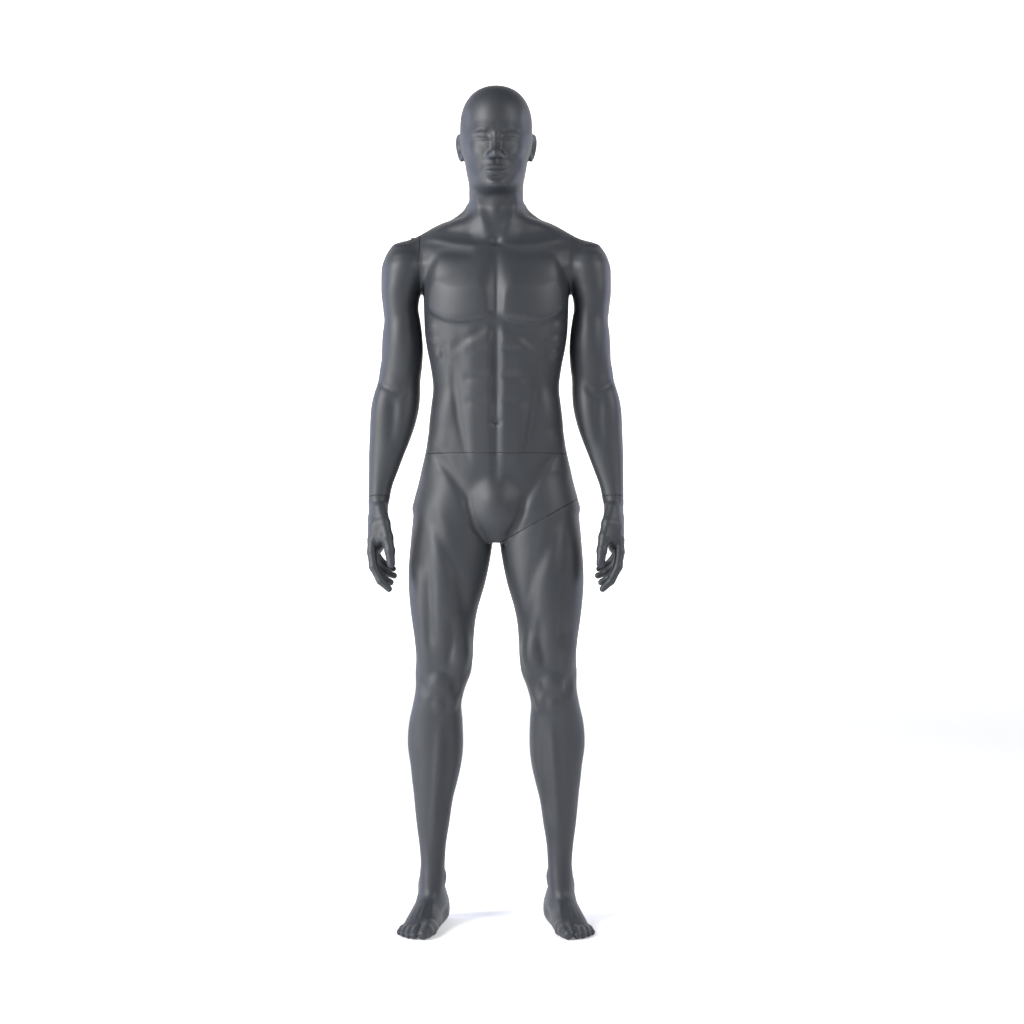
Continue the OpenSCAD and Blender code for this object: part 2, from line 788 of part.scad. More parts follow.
chest_and_head_shell();
right_arm_shell();
hips_and_right_leg_shell();
left_leg_shell();
right_hand();
left_hand();
chest_waist_plate();
hip_waist_plate();
waist_post();
waist_slip_washer();
waist_socket();
waist_post_screws();
waist_socket_screws();
chest_shoulder_plate();
arm_shoulder_plate();
shoulder_bush();
shoulder_spigot();
shoulder_circlip();
arm_socket();
shoulder_bush_screws();
arm_socket_screws();
right_wrist_plate();
right_wrist_bush();
right_wrist_spigot();
right_wrist_circlip();
right_hand_socket();
left_wrist_plate();
left_wrist_bush();
left_wrist_spigot();
left_wrist_circlip();
left_hand_socket();
hip_leg_plate();
leg_seam_plate();
leg_pins();
leg_pin_sockets();
leg_magnet();
leg_magnet_keeper();
foot_rod_socket();
calf_rod_socket();
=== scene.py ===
# %% [markdown]
# # A full body display mannequin
# The object is a hollow moulded figure that comes apart at seams: the waist, the right
# shoulder, both wrists and the left hip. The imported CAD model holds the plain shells, the
# plates and the metal fittings. This lesson makes the skin of the figure itself: the trunk,
# the muscles, the head, the hands and the feet, and the satin paint over them.

import bpy
import bmesh
import numpy as np
import openvdb
from mathutils import Matrix, Vector


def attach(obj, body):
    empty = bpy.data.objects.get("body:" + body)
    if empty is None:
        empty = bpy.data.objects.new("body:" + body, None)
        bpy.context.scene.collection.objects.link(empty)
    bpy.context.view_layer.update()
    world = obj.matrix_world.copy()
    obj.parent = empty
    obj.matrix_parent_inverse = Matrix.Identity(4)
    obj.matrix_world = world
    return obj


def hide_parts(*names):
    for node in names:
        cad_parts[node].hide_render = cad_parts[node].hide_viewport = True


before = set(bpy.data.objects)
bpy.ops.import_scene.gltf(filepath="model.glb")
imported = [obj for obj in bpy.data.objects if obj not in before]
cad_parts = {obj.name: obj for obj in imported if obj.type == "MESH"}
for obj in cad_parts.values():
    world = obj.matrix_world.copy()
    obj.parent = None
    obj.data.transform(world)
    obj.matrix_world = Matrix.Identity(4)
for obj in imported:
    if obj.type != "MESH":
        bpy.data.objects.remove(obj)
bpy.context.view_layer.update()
mm = 0.001

# %% [markdown]
# The figure is a *field*: a function that gives every point in space its distance outside
# the skin, negative inside. Forms are joined by taking the lower of two distances with a
# soft corner, which is how clay flows between two masses. A body could also be pushed out
# of a subdivided box by hand, but a field keeps every limb's size in one readable table.

# %% Helpers for the field
def smooth_step(edge0, edge1, value):
    """0 below edge0, 1 above edge1, and the S-shaped cubic 3t^2 - 2t^3 between them."""
    t = np.clip((value - edge0) / (edge1 - edge0), 0, 1)
    return t * t * (3 - 2 * t)


def soft_min(a, b, k):
    """The lower of a and b, less h^2 k / 4 where they differ by under k: h is 1 - |a - b| / k."""
    h = np.maximum(k - np.abs(a - b), 0) / k
    return np.minimum(a, b) - h * h * k / 4


def soft_max(a, b, k):
    """The higher of a and b, rounded in the same way."""
    return -soft_min(-a, -b, k)


def stations(rows, at):
    """Columns of a station table at the places `at`: a cubic through the rows whose slope
    at each row is the mean slope around it."""
    table = np.array(rows, dtype=float)
    table = table[np.argsort(table[:, 0])]
    place, value = table[:, 0], table[:, 1:]
    slope = np.gradient(value, place, axis=0)
    i = np.clip(np.searchsorted(place, at) - 1, 0, len(place) - 2)
    gap = (place[i + 1] - place[i])[..., None]
    s = np.clip((at[..., None] - place[i][..., None]) / gap, 0, 1)
    start = (2 * s**3 - 3 * s**2 + 1) * value[i] + (s**3 - 2 * s**2 + s) * gap * slope[i]
    end = (3 * s**2 - 2 * s**3) * value[i + 1] + (s**3 - s**2) * gap * slope[i + 1]
    return np.moveaxis(start + end, -1, 0)


def limb(p, rows):
    """Distance to a form whose level sections are superellipses |x/a|^n + |y/b|^n = 1, with
    the rows [height, low x, high x, front y, back y, n]: how far p lies from the centre of
    its section, less how far the outline lies on the same ray."""
    low_x, high_x, front, back, n = stations(rows, p[2])
    dx = p[0] - (low_x + high_x) / 2
    dy = p[1] - (front + back) / 2
    u = np.abs(dx) / ((high_x - low_x) / 2)
    v = np.abs(dy) / ((back - front) / 2)
    g = np.maximum((u**n + v**n) ** (1 / n), 1e-3)
    d = np.sqrt(dx * dx + dy * dy) * (1 - 1 / g)
    d = np.where(g < 0.05, -20, d)
    heights = [row[0] for row in rows]
    return np.maximum(d, np.maximum(min(heights) - p[2], p[2] - max(heights)))


def ellipsoid(p, centre, radii):
    """Near distance to an ellipsoid: k (k - 1) / |gradient|, where k is |(p - c) / r|."""
    q = [(p[i] - centre[i]) / radii[i] for i in range(3)]
    k = np.sqrt(q[0] ** 2 + q[1] ** 2 + q[2] ** 2) + 1e-6
    g = np.sqrt(sum((q[i] / radii[i]) ** 2 for i in range(3))) + 1e-6
    return k * (k - 1) / g


def cone(p, a, b, ra, rb):
    """Distance to a round bar from a to b whose radius runs from ra to rb: the distance to
    the nearest point of the line, less the radius there."""
    a, b = np.array(a, float), np.array(b, float)
    along = b - a
    t = sum((p[i] - a[i]) * along[i] for i in range(3)) / (along @ along)
    t = np.clip(t, 0, 1)
    d = np.sqrt(sum((p[i] - a[i] - t * along[i]) ** 2 for i in range(3)))
    return d - ra - (rb - ra) * t


def chain(p, joints, k):
    """Round bars from joint to joint, each joint [x, y, z, radius], softly joined."""
    d = None
    for (x0, y0, z0, r0), (x1, y1, z1, r1) in zip(joints, joints[1:]):
        bar = cone(p, (x0, y0, z0), (x1, y1, z1), r0, r1)
        d = bar if d is None else soft_min(d, bar, k)
    return d


# %% [markdown]
# The tables below are level sections of the trunk and the neck, and of the left arm and
# leg, in millimetres. They keep close to the plain forms of the CAD shells, so that the
# skin lies near them.

# %% Station tables
# [height, inner or left x, outer or right x, front y, back y, squareness]
TORSO = [
    [852, -30, 30, -58, 30, 2.2],
    [888, -122, 122, -80, 104, 2.4],
    [923, -180, 180, -86, 122, 2.4],
    [945, -179, 179, -86, 124, 2.4],
    [976, -173, 173, -86, 118, 2.3],
    [1012, -165, 165, -87, 101, 2.3],
    [1047, -157, 157, -89, 88, 2.3],
    [1083, -150, 150, -91, 78, 2.3],
    [1118, -147, 147, -92, 73, 2.3],
    [1153, -143, 143, -93, 74, 2.3],
    [1189, -139, 139, -95, 80, 2.3],
    [1242, -145, 145, -101, 92, 2.4],
    [1277, -152, 152, -106, 100, 2.5],
    [1312, -157, 157, -108, 107, 2.5],
    [1348, -159, 159, -109, 112, 2.5],
    [1401, -162, 162, -106, 116, 2.5],
    [1436, -168, 168, -98, 117, 2.4],
    [1471, -180, 180, -84, 113, 2.3],
    [1494, -190, 190, -70, 106, 2.2],
    [1512, -188, 188, -59, 99, 2],
    [1533, -163, 163, -51, 93, 2],
    [1547, -138, 138, -48, 90, 2],
    [1560, -109, 109, -45, 88, 2],
    [1573, -74, 74, -41, 80, 2],
    [1588, -54, 54, -34, 66, 2],
]
NECK = [
    [1520, -64, 64, -50, 86, 2],
    [1560, -62, 62, -46, 84, 2],
    [1590, -60, 60, -44, 80, 2],
    [1613, -59, 59, -54, 76, 2],
    [1640, -59, 59, -60, 71, 2],
    [1700, -52, 52, -30, 66, 2],
]
# The jaw and the face below the skull
FACE = [
    [1600, -30, 30, -84, 20, 2],
    [1630, -42, 42, -88, 24, 2],
    [1641, -50, 50, -91, 32, 2],
    [1650, -55, 55, -93, 42, 2.05],
    [1660, -60, 60, -93, 50, 2.1],
    [1668, -63, 63, -93, 54, 2.1],
    [1682, -67, 67, -92, 62, 2.15],
    [1700, -70, 70, -91, 72, 2.2],
    [1725, -72, 72, -89, 80, 2.2],
    [1750, -70, 70, -85, 82, 2.2],
    [1775, -60, 60, -74, 76, 2.2],
    [1800, -40, 40, -54, 60, 2.2],
]
ARM = [
    [1502, 184, 220, -14, 30, 2],
    [1494, 174, 230, -32, 46, 2.1],
    [1471, 150, 247, -50, 68, 2.3],
    [1436, 158, 252, -56, 72, 2.3],
    [1401, 168, 253, -56, 70, 2.3],
    [1365, 172, 250, -50, 66, 2.2],
    [1348, 169, 249, -48, 62, 2.2],
    [1312, 164, 254, -48, 58, 2.2],
    [1277, 162, 256, -46, 56, 2.2],
    [1242, 164, 257, -42, 56, 2.2],
    [1206, 168, 262, -40, 56, 2.2],
    [1189, 168, 267, -41, 53, 2.2],
    [1153, 170, 275, -44, 47, 2.2],
    [1118, 177, 278, -46, 39, 2.2],
    [1083, 188, 279, -47, 29, 2.2],
    [1047, 202, 280, -48, 19, 2.2],
    [1012, 215, 280, -50, 11, 2.2],
    [976, 228, 280, -53, 5, 2.2],
    [930, 236, 280, -60, -2, 2.2],
]
LEG = [
    [1000, 40, 150, -60, 84, 2.2],
    [960, 20, 170, -78, 110, 2.2],
    [923, 12, 182, -86, 118, 2.2],
    [888, 6, 186, -89, 118, 2.2],
    [853, 8, 189, -91, 110, 2.3],
    [817, 13, 191, -94, 101, 2.3],
    [764, 25, 191, -95, 94, 2.3],
    [707, 41, 186, -91, 87, 2.3],
    [636, 49, 179, -79, 77, 2.2],
    [600, 51, 177, -71, 71, 2.2],
    [565, 56, 178, -62, 66, 2.2],
    [530, 69, 178, -56, 62, 2.3],
    [495, 77, 184, -48, 66, 2.2],
    [459, 75, 192, -38, 80, 2.2],
    [406, 74, 195, -30, 95, 2.2],
    [353, 79, 188, -23, 92, 2.2],
    [318, 87, 186, -17, 85, 2.2],
    [282, 96, 183, -11, 77, 2.1],
    [230, 104, 178, -3, 71, 2.1],
    [176, 112, 172, 4, 70, 2.1],
    [140, 114, 170, 4, 74, 2.1],
    [106, 115, 171, 0, 80, 2.1],
    [80, 116, 172, -4, 88, 2.1],
    [50, 114, 174, -10, 96, 2.1],
]
# Half width inwards, half width outwards and height of the foot along its length, from the
# heel forward
FOOT = [
    [-68, 14, 14, 34],
    [-60, 25, 25, 62],
    [-40, 30, 30, 88],
    [0, 31, 30, 98],
    [30, 31, 33, 84],
    [70, 32, 39, 62],
    [105, 33, 42, 44],
    [126, 34, 42, 32],
    [140, 32, 38, 26],
]
# Toes from the big one outwards, in the foot's frame: [across, forward, height, radius]
TOES = [
    [[-17, 122, 17, 16.5], [-17, 150, 14, 14], [-14, 170, 12, 11.5]],
    [[6, 120, 15, 12], [6, 150, 15, 9.3], [6, 169, 9, 8.3]],
    [[16, 116, 14, 11], [19, 144, 14, 8.8], [20, 163, 8, 7.8]],
    [[26, 108, 13, 10.5], [31, 135, 13, 8.3], [33, 152, 8, 7.3]],
    [[34, 94, 12, 10], [41, 120, 11, 8.3], [44, 138, 8, 7.3]],
]
ANKLE = (143, 50)
FOOT_TURN = np.radians(9)


# %% [markdown]
# Muscles, bones and creases are added to the field as small raised or sunken places. A
# *mound* is a soft ellipsoid in space and a *stroke* follows a line of points: where the
# skin passes through one, it moves out or in by the height given. Both are listed at the
# height at which they are seen from the front, by an eye level with the hips. A form in
# front looks farther from eye level than it is, so a rule of perspective moves it to its
# true place. The forms of the legs are listed at a gentle first strength, and a gain makes
# them stronger.

# %% Mounds and strokes
def mound(p, centre, radii, height, tilt=0.0, crisp=0.0):
    """Height times (1 - q^2)^2, where q is the distance from the centre in radii, turned by
    tilt degrees in the front view. A crisp mound is flat on top with a steeper edge."""
    dx, dy, dz = (p[i] - centre[i] for i in range(3))
    if tilt:
        c, s = np.cos(np.radians(tilt)), np.sin(np.radians(tilt))
        dx, dz = c * dx + s * dz, c * dz - s * dx
    q2 = (dx / radii[0]) ** 2 + (dy / radii[1]) ** 2 + (dz / radii[2]) ** 2
    if crisp:
        return height * (1 - smooth_step(1 - crisp, 1, np.sqrt(q2)))
    return height * np.maximum(1 - q2, 0) ** 2


def stroke(p, points, width, height):
    """Height times exp(-(d / width)^2), where d is the distance to the line of points, less
    near the two ends so that the stroke fades out. The depth counts a quarter, so a stroke
    keeps its height where the skin lies a little before or behind the line."""
    depth = np.array((1, 0.25, 1))
    points = np.array(points, float) * depth
    p = (p[0], p[1] * depth[1], p[2])
    lengths = np.linalg.norm(np.diff(points, axis=0), axis=1)
    total = lengths.sum()
    best = np.full(p[0].shape, 1e9)
    place = np.zeros(p[0].shape)
    done = 0.0
    for a, b, length in zip(points, points[1:], lengths):
        along = (b - a) / length
        t = np.clip(sum((p[i] - a[i]) * along[i] for i in range(3)), 0, length)
        d = sum((p[i] - a[i] - t * along[i]) ** 2 for i in range(3))
        nearer = d < best
        best = np.where(nearer, d, best)
        place = np.where(nearer, done + t, place)
        done += length
    fade = smooth_step(-0.02, 0.25, place / total) * smooth_step(-0.02, 0.25, 1 - place / total)
    return height * fade * np.exp(-best / width**2)


EYE_HEIGHT = 919
EYE_DISTANCE = 4200
LEG_MOUND_GAIN = 1.45
LEG_STROKE_GAIN = 1.7


def true_place(point):
    """Where a form really lies that is listed at the height at which it is seen. The height
    changes by the depth y times the form's height over the eye, divided by the eye's
    distance, to a whole millimetre."""
    x, y, z = point
    return x, y, round(z + y * (z - EYE_HEIGHT) / EYE_DISTANCE)


def placed_mounds(mounds, gain=1):
    """Mounds at their true places, with their heights times the gain, to a tenth."""
    return [(true_place(centre), radii, round(height * gain, 1), *rest)
            for centre, radii, height, *rest in mounds]


def placed_strokes(strokes, gain=1):
    """Strokes at their true places, with their heights times the gain, to a tenth."""
    return [([true_place(point) for point in points], width, round(height * gain, 1))
            for points, width, height in strokes]


# Mounds: (centre, radii, height, tilt, crispness)
BODY_MOUNDS = [
    # throat
    ((0, -46, 1602), (22, 30, 36), 3, 0, 0),
    # collar region towards the arm
    ((120, -70, 1470), (54, 40, 40), 4, 0, 0),
    # side of the belly, and where it swells over the hip
    ((116, -58, 1140), (36, 50, 66), 5, 0, 0),
    ((126, -40, 1078), (40, 56, 34), 5, 0, 0),
    # rib muscles
    ((140, -60, 1328), (24, 34, 18), 4, 35, 0),
    ((137, -64, 1298), (22, 32, 16), 4, 35, 0),
    ((131, -66, 1268), (22, 32, 15), 3.5, 35, 0),
    # broad back muscle under the arm, shoulder blade, neck muscle and the loins
    ((120, 66, 1350), (60, 60, 110), 6, 0, 0),
    ((84, 104, 1412), (64, 44, 70), 8, -14, 0),
    ((44, 84, 1515), (50, 44, 66), 6, 0, 0),
    ((34, 72, 1120), (28, 40, 120), 8, 0, 0),
    # buttock
    ((82, 104, 935), (84, 66, 80), 12, 0, 0),
    ((150, 40, 950), (50, 60, 70), -3, 0, 0),
    # shoulder, upper arm and forearm
    ((226, -14, 1424), (46, 56, 70), 3, 0, 0),
    ((214, 50, 1424), (46, 44, 70), 3, 0, 0),
    ((206, -44, 1284), (40, 38, 80), 8, 0, 0),
    ((234, 48, 1330), (34, 40, 70), 5, 0, 0),
    ((194, 46, 1300), (32, 38, 66), 3, 0, 0),
    ((218, 54, 1176), (16, 18, 22), 4, 0, 0),
    ((258, -30, 1148), (34, 38, 84), 5, -6, 0),
    ((200, -34, 1126), (30, 38, 76), 4, 10, 0),
    ((252, 26, 1120), (32, 36, 80), 3, 0, 0),
    # the two bones of the ankle
    ((113, 46, 112), (20, 22, 26), 4, 0, 0),
    ((173, 54, 100), (18, 20, 26), 4, 0, 0),
]
LEG_MOUNDS = [
    # front of the thigh: outer, middle and the drop above the knee
    ((172, -46, 740), (44, 64, 170), 5, 0, 0),
    ((116, -90, 750), (46, 56, 190), 6, -3, 0),
    ((76, -56, 604), (32, 48, 62), 8, 8, 0),
    ((160, -48, 606), (28, 44, 66), 4, -6, 0),
    ((52, -10, 790), (44, 76, 120), 3, 0, 0),
    ((112, 80, 740), (74, 46, 150), 6, 0, 0),
    # kneecap, the pads below it and the hollows beside it
    ((124, -56, 538), (31, 34, 34), 7, 0, 0),
    ((124, -50, 490), (20, 28, 26), 4, 0, 0),
    ((90, -46, 534), (16, 28, 30), -3.5, 0, 0),
    ((156, -44, 534), (16, 28, 30), -3.5, 0, 0),
    ((94, -40, 494), (22, 28, 28), 3.5, 0, 0),
    # calf, and the hollows behind the ankle bones
    ((96, 78, 402), (40, 52, 92), 7, 4, 0),
    ((164, 74, 418), (40, 52, 84), 5, -4, 0),
    ((186, 10, 380), (28, 44, 100), 3, 0, 0),
    ((116, 62, 94), (14, 15, 24), -3, 0, 0),
    ((170, 74, 92), (14, 15, 24), -3, 0, 0),
]

# Strokes: (points, width, height)
BODY_STROKES = [
    # breastbone, the middle line of the belly and the navel
    ([(0, -66, 1512), (0, -92, 1455), (0, -112, 1400), (0, -114, 1345)], 11, -3),
    ([(0, -112, 1352), (0, -104, 1240), (0, -96, 1126)], 10, -4),
    ([(0, -96, 1122), (0, -94, 1110)], 6.5, -8),
    ([(-15, -96, 1121), (-5, -96, 1118), (5, -96, 1118), (15, -96, 1121)], 3.5, -2.5),
    # arch of the ribs
    ([(16, -110, 1330), (46, -110, 1312), (78, -102, 1292), (106, -88, 1270)], 10, -3),
    ([(106, -90, 1300), (114, -84, 1276), (112, -84, 1250)], 8, -2.5),
    # cross lines of the belly muscle
    ([(4, -106, 1278), (70, -102, 1276)], 10, -2.4),
    ([(4, -102, 1218), (74, -98, 1217)], 10, -3.0),
    ([(4, -98, 1160), (74, -94, 1164)], 10, -2.2),
    # outer edge of the belly muscle down to the groin
    ([(92, -94, 1262), (90, -88, 1200), (82, -86, 1130), (66, -88, 1060), (52, -92, 1010)], 9, -4),
    # the line of the groin
    ([(140, -40, 1056), (116, -66, 1032), (92, -82, 998), (70, -92, 962), (58, -94, 930)], 11, -6),
    # the crease between the groin and the thigh
    ([(66, -92, 963), (57, -90, 918), (42, -82, 883), (22, -70, 861)], 8, -7),
    # collar bone and the hollows above and below it
    ([(12, -60, 1511), (50, -58, 1508), (90, -50, 1513), (128, -36, 1520), (164, -10, 1524)], 8, 4.5),
    ([(40, -46, 1534), (80, -40, 1537), (124, -26, 1541)], 13, -4),
    ([(40, -74, 1488), (96, -66, 1492), (136, -52, 1494)], 11, -3),
    ([(0, -50, 1530), (0, -62, 1506)], 11, -6),
    # the groove between the chest and the shoulder
    ([(122, -56, 1502), (146, -68, 1456), (162, -68, 1408), (168, -56, 1372)], 10, -5),
    # tendon of the neck, from behind the ear to the breastbone
    ([(54, -4, 1650), (38, -30, 1580), (15, -54, 1520)], 12, 4),
    # shoulder blade's inner edge and the spine
    ([(46, 112, 1470), (42, 116, 1400), (64, 112, 1345)], 13, -4),
    ([(0, 82, 1560), (0, 112, 1460), (0, 112, 1340), (0, 82, 1200), (0, 74, 1100), (0, 92, 1020)], 13, -8),
    ([(0, 108, 990), (0, 124, 935), (0, 112, 880), (0, 90, 856)], 10, -15),
    ([(22, 104, 868), (70, 110, 860), (124, 92, 876)], 12, -5),
    # the upper arm's lines, and the bend of the elbow
    ([(252, -2, 1362), (252, 0, 1310), (256, 4, 1230)], 9, -3),
    ([(262, -20, 1206), (240, -44, 1196), (214, -46, 1182), (190, -38, 1196)], 8, -3.5),
    ([(226, -46, 1186), (224, -50, 1120), (232, -52, 1060)], 10, -2.5),
    # the line from the hip to the inner knee
    ([(150, -66, 950), (120, -88, 860), (84, -92, 780), (60, -60, 680), (56, -20, 590)], 14, -3.8),
]
LEG_STROKES = [
    # between the muscles of the thigh
    ([(144, -84, 800), (142, -78, 700), (142, -64, 610)], 11, -3),
    ([(96, -84, 690), (98, -70, 620), (104, -64, 572)], 10, -3.5),
    # shin's edge, the line beside it and the heel cord
    ([(120, -44, 470), (126, -28, 380), (136, -6, 240), (140, 6, 160)], 9, 3),
    ([(102, -22, 440), (108, -12, 340), (122, 6, 230)], 10, -2.5),
    ([(132, 96, 470), (130, 102, 400), (134, 94, 330)], 10, -3.5),
    ([(140, 88, 270), (142, 78, 180), (143, 88, 100)], 9, 4),
    ([(126, 62, 230), (126, 66, 120)], 9, -3),
    ([(160, 62, 230), (162, 68, 120)], 9, -3),
]

MOUNDS = placed_mounds(BODY_MOUNDS) + placed_mounds(LEG_MOUNDS, LEG_MOUND_GAIN)
STROKES = placed_strokes(BODY_STROKES) + placed_strokes(LEG_STROKES, LEG_STROKE_GAIN)
print(len(MOUNDS), "mounds,", len(STROKES), "strokes")


def chest(p):
    """Height of the chest muscle. Its lower border is a curve, lowest at x = 82; the height
    climbs in the first 12 mm above the border and dies away over the next 150."""
    x, y, z = p
    out = x - 82
    border = 1327 + np.where(out < 0, 0.0022, 0.0066) * out * out
    t = z - border
    rise = smooth_step(-4, 12, t) * (1 - smooth_step(22, 165, t))
    across = smooth_step(-8, 40, x) * (1 - smooth_step(126, 172, x))
    return 16 * rise * across * smooth_step(10, 60, -y)


def belly(p):
    """Height of the belly muscle: a flat band from the middle line to x = 70."""
    x, y, z = p
    along = smooth_step(960, 1060, z) * (1 - smooth_step(1280, 1335, z))
    return 6.5 * along * smooth_step(0, 16, x) * (1 - smooth_step(50, 84, x)) * smooth_step(10, 60, -y)


# %% [markdown]
# The head is an egg-shaped skull with the face hung under its front. The nose, the ears and
# the sunk eyes are forms of their own, so they go into the field before the fine strokes.

# %% Head
def skull(p):
    """An egg that is boxier than an ellipsoid: the level part and the height are joined
    with the power 2.3 in place of 2."""
    x, y, z = p[0] / 80, (p[1] - 7) / 95, (p[2] - 1766) / 94
    k = ((x * x + y * y) ** 1.15 + np.abs(z) ** 2.3) ** (1 / 2.3) + 1e-6
    away = np.sqrt(p[0] ** 2 + (p[1] - 7) ** 2 + (p[2] - 1766) ** 2)
    return away * (1 - 1 / k)


def ear(p):
    """A tilted thin disc, wider above, with a raised rim and a hollow inside the rim."""
    c, s = np.cos(np.radians(28)), np.sin(np.radians(28))
    dx = (p[0] - 79) * c - (p[1] - 16) * s
    dy = (p[0] - 79) * s + (p[1] - 16) * c
    dz = p[2] - 1726 - 0.12 * (p[0] - 79)
    dy = dy - 0.2 * dz
    q = np.sqrt((dy / (15 + 0.12 * dz)) ** 2 + (dz / 30) ** 2)
    reach = (q - 1) * 15
    plate = soft_max(np.abs(dx) - 3.2, reach, 3)
    bowl = np.sqrt((dx - 7) ** 2 + (dy + 2) ** 2 + ((dz - 1) / 1.7) ** 2) - 9
    plate = soft_max(plate, -bowl, 2.5)
    rim = np.sqrt((reach + 3) ** 2 + (dx - 1.5) ** 2) - 3.0
    rim = np.where(q < 0.3, 20, rim)
    return soft_min(plate, rim, 2.5)


def nose(p):
    """A tapered ridge, a round tip and two wings."""
    ridge = cone(p, (0, -80, 1756), (0, -100, 1714), 6, 8.5)
    tip = ellipsoid(p, (0, -103, 1711.5), (9.5, 9.5, 8.5))
    wing = ellipsoid(p, (11, -90, 1706), (7, 12, 6.5))
    return soft_min(soft_min(ridge, tip, 10), wing, 10)


FACE_MOUNDS = [
    # brow, temple, cheek bone, the hollow of the cheek and the chin
    ((32, -88, 1769), (38, 30, 20), 3, -4, 0),
    ((0, -94, 1770), (30, 26, 26), 1, 0, 0),
    ((70, -50, 1782), (20, 40, 36), -2.5, 0, 0),
    ((50, -74, 1718), (32, 36, 24), 3, 14, 0),
    ((46, -78, 1686), (24, 36, 28), -3, 0, 0),
    ((0, -94, 1645), (28, 30, 16), 4, 0, 0),
    # the eye's hollow, the ball under its lid, and the hollow beside the nose
    ((32, -88, 1749), (28, 40, 17), -7.5, 0, 0),
    ((15, -88, 1752), (14, 30, 17), -2, 0, 0),
    ((34, -82, 1745), (22, 40, 13), 4, 0, 0),
    # mouth as a whole, and the dip under it
    ((0, -96, 1676), (38, 36, 26), 5, 0, 0),
    ((0, -94, 1659), (22, 40, 8), -3, 0, 0),
]
FACE_STROKES = [
    # the lids' meeting line and the edge of the brow
    ([(18, -86, 1743), (34, -88, 1740.5), (51, -80, 1743)], 2.0, -1.1),
    ([(14, -90, 1761), (34, -92, 1764), (57, -78, 1758)], 6, 1.5),
    # upper lip, lower lip and the line between them
    ([(-28, -94, 1678.5), (-16, -98, 1681), (-6, -100, 1683.5), (6, -100, 1683.5), (16, -98, 1681),
      (28, -94, 1678.5)], 4.0, 2.0),
    ([(-24, -94, 1674), (-10, -98, 1671), (10, -98, 1671), (24, -94, 1674)], 4.6, 3.0),
    ([(-32, -90, 1677.5), (-12, -98, 1677.2), (12, -98, 1677.2), (32, -90, 1677.5)], 1.7, -2.6),
    ([(0, -98, 1697), (0, -102, 1687)], 3.6, -1.3),
    # the fold from the nose to the mouth's corner
    ([(21, -92, 1702), (31, -90, 1690), (38, -86, 1676)], 6, -1.1),
]


# how far the face's sections drop in each millimetre forward
FACE_TILT = 0.18


def face_frame(p):
    """Heights for the face's tables, whose level sections tilt down towards the front."""
    return p[0], p[1], p[2] - FACE_TILT * np.minimum(p[1], 0)


def face_lift(p):
    return carve(face_frame(p), FACE_MOUNDS, FACE_STROKES)


def head(p):
    """Skull, jaw, nose and ears, softly joined."""
    tilted = face_frame(p)
    jaw = soft_max(limb(tilted, FACE), 1628 - tilted[2], 24)
    d = soft_min(skull(p), jaw, 18)
    d = soft_min(d, nose(tilted), 9)
    return soft_min(d, ear(p), 4)


# %% [markdown]
# The foot lies in a frame of its own, turned out from the ankle. It is a rounded wedge with
# five toes, cut flat by the floor.

# %% Foot
def foot_frame(p):
    """Distance outwards, distance forwards and height, seen from the ankle."""
    c, s = np.cos(FOOT_TURN), np.sin(FOOT_TURN)
    dx, dy = p[0] - ANKLE[0], p[1] - ANKLE[1]
    return dx * c + dy * s, dx * s - dy * c, p[2]


def foot(p):
    """Distance outside the skin of the left foot. A section across it is round above its
    widest level and squarer, with the power 3, below."""
    q = foot_frame(p)
    across, forward, z = q
    inner, outer, height = stations(FOOT, forward)
    half = np.where(across < 0, inner, outer)
    u = np.abs(across) / half
    widest = height * 0.34
    above = z > widest
    v = np.where(above, (z - widest) / (height * 0.66), (widest - z) / (height * 0.42))
    n = np.where(above, 2.0, 3.0)
    g = np.maximum((u**n + np.abs(v) ** n) ** (1 / n), 1e-3)
    r = np.sqrt(across**2 + (z - widest) ** 2)
    d = np.where(g < 0.05, -10, r * (1 - 1 / g))
    d = soft_max(d, np.maximum(-66 - forward, forward - 136), 14)
    for i, joints in enumerate(TOES):
        d = soft_min(d, chain(q, joints, 4), 4 if i else 6)
    # the sole is flat where it meets the floor
    return soft_max(d, -z, 2.5)


def foot_lift(p):
    """Ankle bone, tendons and nails of the foot."""
    q = foot_frame(p)
    h = mound(q, (-33, 20, 22), (14, 46, 17), -6)
    h = h + stroke(q, [(-12, 60, 66), (-18, 100, 46), (-22, 126, 36)], 5, 2.2)
    tendons = [[(0, 66, 64), (3, 122, 34)], [(8, 64, 60), (16, 118, 32)], [(16, 60, 54), (27, 110, 30)]]
    for tendon in tendons:
        h = h + stroke(q, tendon, 3.6, 1.5)
    # nails
    for joints, wide in zip(TOES, (8.5, 5.5, 5, 4.6, 4.4)):
        x, y, z, r = joints[-1]
        h = h - mound(q, (x, y + 1, z + r), (wide, 9, 5), 1.2, 0, 0.25)
    return h


# %% [markdown]
# Now the whole figure. The arm hangs so close to the ribs that the blend between them must
# be wide at the shoulder and almost nothing below the armpit.

# %% The whole field
def carve(p, mounds, strokes):
    """The sum of mounds and strokes at each point. Each is worked out only near itself."""
    h = np.zeros(p[2].shape)
    for centre, radii, *rest in mounds:
        near = np.abs(p[2] - centre[2]) < radii[2] * 1.3
        h[near] += mound(tuple(c[near] for c in p), centre, radii, *rest)
    for points, width, height in strokes:
        levels = [point[2] for point in points]
        near = (p[2] > min(levels) - 3 * width) & (p[2] < max(levels) + 3 * width)
        h[near] += stroke(tuple(c[near] for c in p), points, width, height)
    return h


